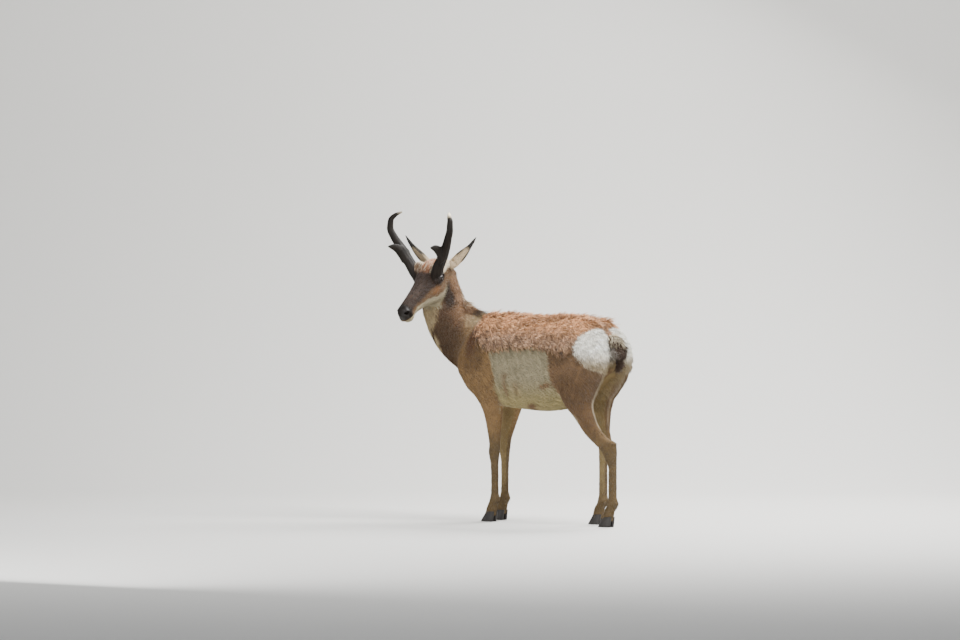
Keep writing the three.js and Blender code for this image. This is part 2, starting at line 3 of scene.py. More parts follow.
import bpy
import numpy as np
from bpy.props import FloatProperty, FloatVectorProperty, IntProperty, PointerProperty
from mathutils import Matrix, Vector


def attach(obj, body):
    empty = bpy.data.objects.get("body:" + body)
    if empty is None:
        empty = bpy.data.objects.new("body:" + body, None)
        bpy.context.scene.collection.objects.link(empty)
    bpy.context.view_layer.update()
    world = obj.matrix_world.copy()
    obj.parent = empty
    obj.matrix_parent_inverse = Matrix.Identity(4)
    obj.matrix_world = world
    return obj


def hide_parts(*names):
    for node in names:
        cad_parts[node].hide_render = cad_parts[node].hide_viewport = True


bl_info = {
    "name": "Pronghorn buck",
    "version": (1, 0, 0),
    "blender": (4, 2, 0),
    "location": "View3D > Sidebar > Pronghorn",
    "description": "Builds the skin, coat, horns, ears, eyes and hooves of a life-size pronghorn buck",
    "category": "Add Mesh",
}

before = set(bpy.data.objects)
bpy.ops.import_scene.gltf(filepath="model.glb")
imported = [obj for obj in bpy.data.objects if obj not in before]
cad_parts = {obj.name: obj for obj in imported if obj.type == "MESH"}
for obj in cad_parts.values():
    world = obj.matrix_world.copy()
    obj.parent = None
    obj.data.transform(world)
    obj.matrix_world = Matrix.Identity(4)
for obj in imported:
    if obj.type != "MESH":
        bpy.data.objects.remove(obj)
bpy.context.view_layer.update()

# Lengths in the tables are millimetres, from the point on the ground under the middle of the back.
MM = 0.001
ORIGIN = np.array([-61.8, 137.4, 0.0])

# The head: the crown, its own directions and its length.
SKULL = np.array([14.0, -563.0, 1049.0])
BROW_MID = np.array([120.0, -559.0, 1050.0])
HEAD_LENGTH = 324.0
PITCH = math.radians(36)
TURN = math.radians(93)
UP = np.array([0.0, 0.0, 1.0])
FACING = np.array([math.sin(TURN), -math.cos(TURN), 0.0])
MUZZLE = FACING * math.cos(PITCH) - UP * math.sin(PITCH)
BROW = FACING * math.sin(PITCH) + UP * math.cos(PITCH)
HEAD_LEFT = np.cross(BROW, MUZZLE)
EYE = np.array([92.0, 17.0, 56.0])
EYE_RADIUS = 18.0

# [y, top, bottom, half width, wider below]
TORSO = [
    [-438, 700, 610, 42, 0],
    [-415, 752, 570, 74, 0],
    [-370, 815, 522, 102, 0.04],
    [-310, 848, 492, 118, 0.06],
    [-220, 858, 476, 127, 0.08],
    [-110, 852, 468, 140, 0.1],
    [0, 850, 463, 149, 0.1],
    [90, 856, 470, 146, 0.08],
    [180, 858, 508, 138, 0.02],
    [250, 846, 560, 126, 0],
    [310, 818, 610, 106, 0],
    [355, 782, 650, 80, 0],
    [384, 742, 690, 42, 0],
]

# [share, x, y, z, half depth, half width]
NECK = [
    [0, 0, -352, 722, 128, 92],
    [0.22, 0, -432, 752, 124, 88],
    [0.42, 0, -496, 796, 116, 80],
    [0.6, 0, -536, 846, 107, 72],
    [0.78, 4, -560, 906, 94, 64],
    [0.92, 10, -568, 972, 80, 56],
    [1, 16, -566, 1022, 66, 52],
]

# [distance along the head, top, bottom, half width, wider above]
HEAD = [
    [-26, 10, -44, 30, 0.1],
    [0, 40, -58, 46, 0.1],
    [30, 60, -74, 55, 0.1],
    [62, 66, -86, 58, 0.02],
    [100, 62, -94, 58, -0.04],
    [138, 52, -88, 51, -0.04],
    [175, 43, -70, 42, 0.02],
    [220, 37, -54, 35, 0.06],
    [264, 34, -45, 31, 0.04],
    [297, 30, -44, 32, 0],
    [314, 22, -40, 30, 0],
    [324, 8, -36, 20, 0],
]

# [z, front, back, inner side, outer side]
SHANK = {
    "fore_left": [
        [30, -272, -216, 45, 87],
        [66, -258, -210, 46, 86],
        [93, -247, -196, 46, 84],
        [125, -241, -203, 50, 80],
        [180, -240, -204, 50, 80],
        [240, -242, -203, 50, 82],
        [290, -250, -198, 45, 88],
        [320, -248, -195, 46, 88],
        [380, -255, -188, 44, 95],
        [443, -268, -180, 40, 104],
        [490, -290, -178, 36, 110],
        [530, -320, -176, 33, 118],
        [580, -368, -182, 30, 125],
    ],
    "fore_right": [
        [30, -322, -266, 36, 78],
        [66, -308, -260, 37, 77],
        [93, -297, -246, 37, 75],
        [125, -291, -253, 41, 71],
        [180, -290, -254, 42, 72],
        [240, -292, -253, 42, 74],
        [300, -300, -248, 38, 80],
        [338, -297, -242, 38, 82],
        [380, -298, -230, 38, 90],
        [443, -305, -207, 36, 102],
        [490, -320, -192, 34, 110],
        [530, -340, -190, 32, 118],
        [580, -374, -188, 30, 125],
    ],
    "hind_left": [
        [30, 370, 426, 47, 89],
        [66, 383, 434, 48, 88],
        [95, 399, 453, 48, 88],
        [130, 405, 447, 54, 86],
        [240, 406, 447, 54, 86],
        [280, 388, 447, 52, 88],
        [315, 366, 448, 50, 90],
        [345, 328, 446, 50, 92],
        [371, 294, 396, 50, 95],
        [400, 266, 364, 48, 100],
        [440, 237, 338, 42, 110],
        [500, 184, 320, 32, 125],
        [560, 150, 345, 20, 137],
        [620, 132, 376, 10, 144],
    ],
    "hind_right": [
        [30, 206, 262, 40, 82],
        [66, 219, 270, 41, 81],
        [95, 235, 289, 41, 81],
        [130, 241, 283, 46, 78],
        [240, 242, 283, 46, 78],
        [300, 240, 294, 44, 82],
        [340, 230, 303, 44, 86],
        [371, 214, 296, 44, 90],
        [400, 198, 289, 43, 96],
        [453, 158, 288, 38, 110],
        [516, 112, 300, 30, 126],
        [560, 100, 335, 20, 136],
        [620, 100, 374, 10, 144],
    ],
}
LIMB_TOP = {
    "fore": [
        [640, -404, -196, 26, 128],
        [690, -400, -205, 22, 127],
        [740, -366, -207, 20, 119],
        [800, -322, -208, 15, 94],
        [836, -290, -215, 18, 58],
    ],
    "hind": [
        [690, 126, 390, 6, 142],
        [745, 146, 382, 6, 130],
        [800, 180, 345, 12, 100],
        [832, 210, 300, 25, 70],
    ],
}
LEGS = {
    "fore_left": (1, (66, -242)),
    "fore_right": (-1, (57, -292)),
    "hind_left": (1, (68, 401)),
    "hind_right": (-1, (61, 236)),
}

# [share, y, z, half thickness, half width]
TAIL = [
    [0, 352, 776, 15, 22],
    [0.25, 384, 768, 15, 23],
    [0.55, 398, 732, 13, 21],
    [0.85, 398, 690, 9, 15],
    [1, 393, 664, 4, 7],
]

# [share, forward, upward, outward, half depth, half width] over the brow's middle
HORN = [
    [0, -14, -48, 46, 24, 17],
    [0.12, -5, -18, 60, 29, 19],
    [0.22, 0, 4, 71, 29, 19],
    [0.38, 6, 42, 95, 27, 17.5],
    [0.53, 12, 80, 117, 22, 15.5],
    [0.7, 28, 125, 143, 17, 14.5],
    [0.83, 35, 165, 158, 14.5, 12.5],
    [0.91, 32, 195, 157, 12, 11],
    [0.96, 20, 216, 143, 9, 8],
    [1, -1, 228, 126, 4, 4],
]
PRONG_TIP = (106.0, 88.0, 112.0)

# [share, half width, half depth, bend]
EAR = [
    [0, 15, 14, 0],
    [0.15, 18.5, 15, 0],
    [0.35, 19.5, 14, 0],
    [0.55, 15.5, 11, 1],
    [0.75, 8.5, 7, 4],
    [0.9, 5.5, 4.5, 8],
    [1, 2, 2, 12],
]
EAR_ROOT = (-102.0, 0.0, 50.0)
EAR_REACH = {"left": (-52.0, 108.0, 101.0), "right": (48.0, 112.0, 98.0)}

# Colours as they look, from 0 to 255.
PAINT = {
    # The back's top colour: the hair's own rusty tone, painted lighter where light falls on top.
    "saddle": (208, 156, 112),
    "saddle_low": (180, 145, 116),
    "saddle_root": (82, 52, 38),
    "shoulder": (122, 96, 64),
    "haunch": (110, 86, 62),
    # The flank's white hair, painted in shade: darker and duller than the rump's white.
    "flank": (142, 132, 106),
    # The belly's white hair, painted in deeper shade: darker and yellower still.
    "belly": (146, 131, 84),
    "rump": (244, 240, 228),
    "neck": (82, 60, 41),
    "neck_low": (74, 55, 34),
    "nape": (142, 109, 80),
    "throat": (170, 150, 114),
    "cream": (226, 212, 182),
    # A pale tone painted in shade, for the legs' inner sides, the rump's lower white and the hams between the
    # hind legs.
    "inside": (128, 110, 76),
    "shank": (92, 76, 52),
    "mask": (52, 41, 34),
    "bridge": (80, 64, 54),
    "forehead": (164, 112, 78),
    "cheek": (96, 73, 49),
    "spot": (122, 84, 52),
    "white": (148, 138, 112),
    "black": (30, 25, 21),
    "tail": (66, 50, 38),
    "horn": (28, 24, 20),
    "horn_base": (32, 27, 23),
    "ear": (188, 168, 138),
    "hoof": (34, 30, 27),
}


def as_light(name):
    """The table's colour as light: each part of it over 255, to the power 2.2."""
    return (np.array(PAINT[name]) / 255.0) ** 2.2


def paint(name):
    """The named colour as light, from the settings where they hold it."""
    settings = getattr(bpy.context.scene, "pronghorn_colours", None)
    if settings and hasattr(settings, name):
        return np.array(getattr(settings, name))
    return as_light(name)


def colour_setting(name, text):
    """A colour in the settings that starts at the table's."""
    first = tuple(as_light(name))
    about = f"Colour of the {text}"
    return FloatVectorProperty(name=text, description=about, default=first, min=0.0, max=1.0, subtype="COLOR")


def profile(rows, at):
    """Values of the rows at the places asked, on a cubic through the rows. Its slope at each row is the
    harmonic mean of the slopes on both sides, or level where they turn, so it never swings past them."""
    table = np.asarray(rows, float)
    x, y = table[:, 0], table[:, 1:]
    step = np.diff(x)[:, None]
    rise = np.diff(y, axis=0) / step
    slope = np.zeros_like(y)
    both = rise[:-1] * rise[1:]
    total = np.where(both > 0, rise[:-1] + rise[1:], 1.0)
    slope[1:-1] = np.where(both > 0, 2 * both / total, 0.0)
    slope[0], slope[-1] = rise[0], rise[-1]
    place = np.clip(np.asarray(at, float), x[0], x[-1])
    i = np.clip(np.searchsorted(x, place, side="right") - 1, 0, len(x) - 2)
    s = ((place - x[i]) / (x[i + 1] - x[i]))[:, None]
    s2, s3 = s * s, s * s * s
    start = y[i] * (2 * s3 - 3 * s2 + 1) + slope[i] * step[i] * (s3 - 2 * s2 + s)
    end = y[i + 1] * (3 * s2 - 2 * s3) + slope[i + 1] * step[i] * (s3 - s2)
    return start + end


def ease(t):
    """0 to 1 as t goes from 0 to 1, level at both ends: t squared times (3 - 2 t)."""
    t = np.clip(t, 0.0, 1.0)
    return t * t * (3 - 2 * t)


def band(value, low, high, soft):
    """1 where the value is between low and high, easing to 0 over the soft width outside them."""
    return ease((value - low) / soft + 1) * ease((high - value) / soft + 1)


def unit(v):
    """The vectors at length 1."""
    return v / np.maximum(np.linalg.norm(v, axis=-1, keepdims=True), 1e-9)


def wobble(p, size, seed):
    """A smooth pattern from -1 to 1 with bumps about the size apart: crossed sine waves, multiplied in
    pairs."""
    rng = np.random.default_rng(seed)
    turns = rng.normal(size=(4, 3)) / size * 2.2
    phase = rng.uniform(0, 6.28, 4)
    waves = np.sin(p @ turns.T + phase)
    mixed = waves[:, 0] * waves[:, 1] + waves[:, 2] * waves[:, 3] + 0.5 * waves[:, 0]
    return np.clip(0.6 * mixed, -1, 1)


def oval_distance(u, v, half_u, half_v, power):
    """Distance to an oval to first order: (r - 1) over the slope of r, with r the power mean of |u| / half_u
    and |v| / half_v."""
    a = np.abs(u) / half_u + 1e-6
    b = np.abs(v) / half_v + 1e-6
    r = (a**power + b**power) ** (1 / power)
    slope = r ** (1 - power) * np.hypot(a ** (power - 1) / half_u, b ** (power - 1) / half_v)
    return (r - 1) / slope


def capped(distance, over, radius):
    """Rounds an end: past it by over, the distance is measured from a rim the radius inside the section."""
    rounded = np.hypot(np.maximum(distance + radius, 0), over) - radius
    return np.where(over > 0, rounded, distance)


def to_head(p):
    """Places as (along the muzzle, up through the brow, to the head's left), from the crown."""
    return (p - SKULL) @ np.stack([MUZZLE, BROW, HEAD_LEFT], axis=1)


def even_head(p):
    """The same, with the head's left and right folded together."""
    q = to_head(p)
    return np.column_stack([q[:, :2], np.abs(q[:, 2])])


def in_head(along, up, left):
    """The place at those distances from the crown."""
    return SKULL + along * MUZZLE + up * BROW + left * HEAD_LEFT


def over_brow(forward, upward, outward):
    """The place forward, upward and to the left of the brow's middle, with the head's pitch left out."""
    return BROW_MID + forward * FACING + upward * UP + outward * HEAD_LEFT


class Tube:
    """A curved tube: points on its middle, its size there, and a side direction that is kept square to it."""

    def __init__(self, centres, sizes, side, power=2.0, pear=0.0, cap=10.0):
        self.c = np.asarray(centres, float)
        self.size = np.asarray(sizes, float)
        self.along = unit(np.gradient(self.c, axis=0))
        side = np.broadcast_to(np.asarray(side, float), self.c.shape)
        self.side = unit(side - self.along * np.sum(side * self.along, axis=1)[:, None])
        self.top = np.cross(self.along, self.side)
        self.power, self.pear, self.cap = power, pear, cap

    def coordinates(self, p):
        """(number along the middle points, across, up, distance past an end, size) of each place."""
        gap = ((p[:, None, :] - self.c[None]) ** 2).sum(2)
        i = gap.argmin(1)
        step = np.linalg.norm(np.gradient(self.c, axis=0), axis=1)
        ahead = np.sum((p - self.c[i]) * self.along[i], axis=1)
        raw = i + ahead / step[i]
        place = np.clip(raw, 0, len(self.c) - 1)
        over = np.abs(raw - place) * step[i]
        k = np.arange(len(self.c))
        read = lambda v: np.stack([np.interp(place, k, v[:, j]) for j in range(v.shape[1])], axis=1)
        r = p - read(self.c)
        across = np.sum(r * read(self.side), axis=1)
        up = np.sum(r * read(self.top), axis=1)
        return place, across, up, over, read(self.size)

    def distance(self, p):
        """Distance to the tube's surface, below 0 inside."""
        place, u, v, over, size = self.coordinates(p)
        half_u = size[:, 0] * (1 - self.pear * np.clip(v / size[:, 1], -1.2, 1.2))
        return capped(oval_distance(u, v, half_u, size[:, 1], self.power), over, self.cap)


NECK_LAST = 32


def neck_tube():
    """The neck, whose side turns with the head over its upper half."""
    t = np.linspace(0, 1, NECK_LAST + 1)
    rows = profile(NECK, t)
    centres = rows[:, :3]
    along = unit(np.gradient(centres, axis=0))
    twist = (math.radians(28) * ease((t - 0.45) / 0.55))[:, None]
    x = np.array([1.0, 0.0, 0.0])
    side = x * np.cos(twist) + np.cross(along, x) * np.sin(twist)
    return Tube(centres, rows[:, [4, 3]], side, pear=0.12, cap=20)


def tail_tube():
    """The dock of the tail, under its hair."""
    rows = profile(TAIL, np.linspace(0, 1, 15))
    centres = np.column_stack([np.zeros(15), rows[:, :2]])
    return Tube(centres, rows[:, [3, 2]], [1, 0, 0], cap=3)


NECK_TUBE = neck_tube()
TAIL_TUBE = tail_tube()


def torso_distance(p):
    """Distance to the chest, belly and loin."""
    y = np.clip(p[:, 1], TORSO[0][0], TORSO[-1][0])
    top, bottom, half, pear = profile(TORSO, y).T
    middle, tall = (top + bottom) / 2, (top - bottom) / 2
    q = np.clip((p[:, 2] - middle) / tall, -1.2, 1.2)
    flat = oval_distance(p[:, 0], p[:, 2] - middle, half * (1 - pear * q), tall, 2.25)
    return capped(flat, np.abs(p[:, 1] - y), 25)


def limb_rows(name):
    """All the level slices of a limb, from the pastern up."""
    return SHANK[name] + LIMB_TOP[name.split("_")[0]]


def limb_coordinates(p, name):
    """(across, fore and aft, height past an end, half width, half length) of each place in the limb's slice
    at its height. Across is above 0 on the outer side."""
    rows = limb_rows(name)
    z = np.clip(p[:, 2], rows[0][0], rows[-1][0])
    front, back, inner, outer = profile(rows, z).T
    side = LEGS[name][0]
    across = side * p[:, 0] - (inner + outer) / 2
    return across, p[:, 1] - (front + back) / 2, np.abs(p[:, 2] - z), (outer - inner) / 2, (back - front) / 2


def limb_distance(p, name):
    """Distance to a limb from its pastern to the shoulder blade or hip."""
    u, v, over, half_u, half_v = limb_coordinates(p, name)
    return capped(oval_distance(u, v, half_u, half_v, 2.15) * 0.88, over, 8)


def ball_distance(q, centre, radii):
    """Distance to an ellipsoid to first order: k (k - 1) / g, with k the scaled radius and g the length of
    its scaled gradient."""
    r = (q - np.asarray(centre, float)) / np.asarray(radii, float)
    k = np.linalg.norm(r, axis=1)
    g = np.linalg.norm(r / np.asarray(radii, float), axis=1)
    return k * (k - 1) / np.maximum(g, 1e-9)


def merge(distances, blend):
    """A rounded union: minus blend times the log of the sum of exp(-distance / blend)."""
    stack = np.stack(distances)
    low = stack.min(0)
    return low - blend * np.log(np.exp(-(stack - low) / blend).sum(0))


def carve(distance, tool, blend):
    """A rounded cut: the union's rule turned inside out."""
    return -merge([-distance, tool], blend)


def head_distance(p):
    """Distance to the head with its brows, cheeks, nose, lips, nostrils and eye openings."""
    q = to_head(p)
    a = np.clip(q[:, 0], HEAD[0][0], HEAD_LENGTH)
    top, bottom, half, pear = profile(HEAD, a).T
    middle, tall = (top + bottom) / 2, (top - bottom) / 2
    s = np.clip((q[:, 1] - middle) / tall, -1.2, 1.2)
    core = oval_distance(q[:, 2], q[:, 1] - middle, half * (1 + pear * s), tall, 2.2)
    core = capped(core, np.abs(q[:, 0] - a), 12)
    even = even_head(p)
    mass = merge(
        [
            core,
            ball_distance(even, (EYE[0], EYE[1] + 2, 47), (33, 27, 28)),
            ball_distance(even, (EYE[0] - 12, EYE[1] + 32, 50), (31, 24, 22)),
            ball_distance(even, (80, -56, 27), (54, 36, 26)),
            ball_distance(even, (4, 10, 42), (24, 24, 18)),
            ball_distance(even, (HEAD_LENGTH - 14, 3, 0), (18, 22, 29)),
            ball_distance(even, (HEAD_LENGTH - 26, -40, 0), (22, 12, 21)),
        ],
        4.5,
    )
    # The mouth line runs back and up from the front of the lips. Then come the tear groove and the nostril.
    lip = even[:, 1] - (-31 + 0.13 * (HEAD_LENGTH - even[:, 0]))
    mass = mass + 4.0 * np.exp(-((lip / 2.6) ** 2)) * band(even[:, 0], HEAD_LENGTH - 80, HEAD_LENGTH + 20, 14)
    mass = mass - 2.2 * np.exp(-(((lip - 7) / 5) ** 2)) * band(even[:, 0], HEAD_LENGTH - 66, HEAD_LENGTH, 14)
    groove = even[:, 1] - (EYE[1] - 6 - 0.5 * (even[:, 0] - EYE[0] - 18))
    mass = mass + 2.5 * np.exp(-((groove / 4) ** 2)) * band(even[:, 0], EYE[0] + 18, EYE[0] + 34, 8)
    nostril = ball_distance(even, (HEAD_LENGTH - 6, 5, 23), (10, 5.5, 10))
    mass = mass - 3.0 * np.exp(-((nostril / 5) ** 2))
    mass = carve(mass, nostril, 1.5)
    opening = ball_distance(even, (EYE[0], EYE[1], EYE[2] + 19), (19, 12, 17))
    mass = mass - 2.6 * np.exp(-((opening / 4.5) ** 2)) * band(even[:, 2], EYE[2] - 4, EYE[2] + 30, 6)
    return carve(mass, opening, 1.2)


# Each part of the skin: the box that holds it, how deep its coat is, and its distance.
PARTS = {
    "torso": ((-190, -500, 420), (190, 450, 900), 4.0, torso_distance),
    "neck": ((-140, -720, 540), (140, -250, 1110), 4.0, NECK_TUBE.distance),
    "head": ((-40, -690, 800), (320, -430, 1170), 1.2, head_distance),
    "tail": ((-50, 330, 640), (50, 440, 820), 4.0, TAIL_TUBE.distance),
}
for leg, (leg_side, foot) in LEGS.items():
    y_low, y_high = (-440, -130) if leg.startswith("fore") else (60, 490)
    x_low, x_high = (-25, 185) if leg_side > 0 else (-185, 25)
    PARTS[leg] = ((x_low, y_low, 15), (x_high, y_high, 880), 2.2, lambda p, leg=leg: limb_distance(p, leg))
PART_NAMES = list(PARTS)
FAR = 90.0


def part_distances(p):
    """Distance of each place to each part, less the coat's depth, and FAR outside the part's box."""
    out = np.full((len(PARTS), len(p)), FAR)
    for row, (low, high, depth, distance) in enumerate(PARTS.values()):
        near = np.all((p > low) & (p < high), axis=1)
        if near.any():
            out[row, near] = distance(p[near]) + depth
    return out


def detail(p):
    """Small forms in the skin: the shoulder blade's edge, the groove of the thigh and the ribs."""
    x = np.abs(p[:, 0])
    blade = p[:, 1] + 196 + 0.35 * (p[:, 2] - 640)
    d = 3.5 * np.exp(-((blade / 14) ** 2)) * band(p[:, 2], 560, 780, 60) * band(x, 60, 200, 20)
    thigh = p[:, 1] - 292 - 0.42 * (p[:, 2] - 640)
    d += 2.5 * np.exp(-((thigh / 12) ** 2)) * band(p[:, 2], 520, 690, 50) * band(x, 70, 200, 20)
    ribs = np.sin((p[:, 1] + 0.35 * (p[:, 2] - 640)) / 6.4)
    d += 0.7 * ribs * band(p[:, 1], -170, 90, 50) * band(p[:, 2], 560, 760, 40)
    return d


def body_distance(p):
    """Distance to the whole skin, below 0 inside."""
    return merge(list(part_distances(p)), 8.0) + detail(p)


def in_chunks(function, p, size=200000):
    """The function of all the places, a chunk at a time."""
    return np.concatenate([function(p[i : i + size]) for i in range(0, len(p), size)])


def surface_net(distance, xs, ys, zs):
    """A closed mesh of quads where the distance is 0, on a grid of the given places along each axis. Each
    grid cell that the surface passes through gets one point, the mean of where its edges cross it, and each
    crossing edge gets the quad of the four cells round it."""
    grid = np.stack(np.meshgrid(xs, ys, zs, indexing="ij"), axis=-1).reshape(-1, 3)
    values = in_chunks(distance, grid).reshape(len(xs), len(ys), len(zs))
    inside = values < 0
    corners = [(i, j, k) for i in (0, 1) for j in (0, 1) for k in (0, 1)]
    shape = np.array(values.shape) - 1
    count = np.zeros(shape, np.int8)
    for i, j, k in corners:
        count += inside[i : i + shape[0], j : j + shape[1], k : k + shape[2]]
    cell = np.argwhere((count > 0) & (count < 8))
    total = np.zeros((len(cell), 3))
    hits = np.zeros(len(cell))
    axes = (xs, ys, zs)
    for a in corners:
        for axis in range(3):
            if a[axis]:
                continue
            b = tuple(v + (n == axis) for n, v in enumerate(a))
            ia, ib = (cell + a).T, (cell + b).T
            va, vb = values[tuple(ia)], values[tuple(ib)]
            cross = (va < 0) != (vb < 0)
            share = np.where(cross, va / np.where(cross, va - vb, 1), 0)
            for n in range(3):
                low, high = axes[n][ia[n]], axes[n][ib[n]]
                total[:, n] += cross * (low + (high - low) * share)
            hits += cross
    points = total / hits[:, None]
    number = np.full(shape, -1, np.int64)
    number[tuple(cell.T)] = np.arange(len(cell))
    quads = []
    for axis in range(3):
        one, two = [n for n in range(3) if n != axis]
        first = [slice(1, -1)] * 3
        first[axis] = slice(0, -1)
        second = list(first)
        second[axis] = slice(1, None)
        here, there = inside[tuple(first)], inside[tuple(second)]
        for leaving in (True, False):
            at = np.argwhere((here & ~there) if leaving else (~here & there))
            at += np.array([0 if n == axis else 1 for n in range(3)])
            ring = []
            for shift_one, shift_two in ((-1, -1), (0, -1), (0, 0), (-1, 0)):
                moved = at.copy()
                moved[:, one] += shift_one
                moved[:, two] += shift_two
                ring.append(number[tuple(moved.T)])
            quad = np.stack(ring, axis=1)
            quads.append(quad if leaving == (axis != 1) else quad[:, ::-1])
    return points, np.concatenate(quads)


def slope_of(distance, p, step=0.8):
    """The distance at each place and its slope, from the differences over a small step both ways."""
    slope = np.empty_like(p)
    for n in range(3):
        shift = np.zeros(3)
        shift[n] = step
        slope[:, n] = (in_chunks(distance, p + shift) - in_chunks(distance, p - shift)) / (2 * step)
    return in_chunks(distance, p), slope


def settle(distance, p, rounds=2):
    """Moves the points onto the surface along the slope, by distance over slope squared, a few times, and
    gives the normals too."""
    for _ in range(rounds):
        value, slope = slope_of(distance, p)
        steep = np.maximum((slope**2).sum(1), 0.15)
        p = p - slope * np.clip(value / steep, -3, 3)[:, None]
    return p, unit(slope_of(distance, p)[1])


# [y, height] of the saddle's lower edge, and [height, y] of the pale flank's front and rear edges.
SADDLE_EDGE = [
    [-330, 800], [-286, 768], [-240, 736], [-190, 724], [-120, 734], [60, 738],
    [130, 728], [190, 722], [236, 738], [290, 792], [330, 836],
]
FLANK_FRONT = [[440, -172], [520, -176], [600, -176], [680, -198], [740, -210]]
FLANK_REAR = [[440, 262], [500, 196], [545, 160], [590, 136], [640, 126], [717, 120], [760, 112]]
SADDLE_ENDS = (-322, 296)

# [y, height, half length, half height, strength] of the dark patches of painted shade on the flank and belly.
SHADE_PATCHES = (
    (-112, 612, 20, 14, 0.6),
    (-118, 560, 13, 38, 0.8),
    (-52, 560, 20, 32, 0.45),
    (104, 580, 30, 12, 1),
    (-14, 486, 34, 13, 1),
)

# [distance along the head, height in half depths] of the pale jaw's upper edge.
JAW_EDGE = [
    [20, 0.3], [52, 0.02], [84, -0.22], [130, -0.3], [190, -0.16], [250, -0.16], [300, -0.34], [324, -0.5],
]


def saddle_edge(y):
    """Height of the saddle's lower edge along the body."""
    return profile(SADDLE_EDGE, y)[:, 0]


def rump_patch(p, w):
    """How far inside the rump's white patch each place is, from 1 at its middle to below 0 outside: 1 minus
    the distance from the middle in half lengths and half heights, with the low part leaning back."""
    lean = np.minimum(p[:, 2] - 745, 0) * 0.5
    return 1.0 - np.hypot((p[:, 1] - 356 + w + lean) / 112, (p[:, 2] - 740 + 0.12 * (p[:, 1] - 350)) / 92)


def spot(p, centre, radii, reach=1.5):
    """1 round the centre, easing to 0 where the distance from it, in radii, comes to the reach."""
    return ease(reach - np.linalg.norm((p - np.array(centre)) / radii, axis=1))


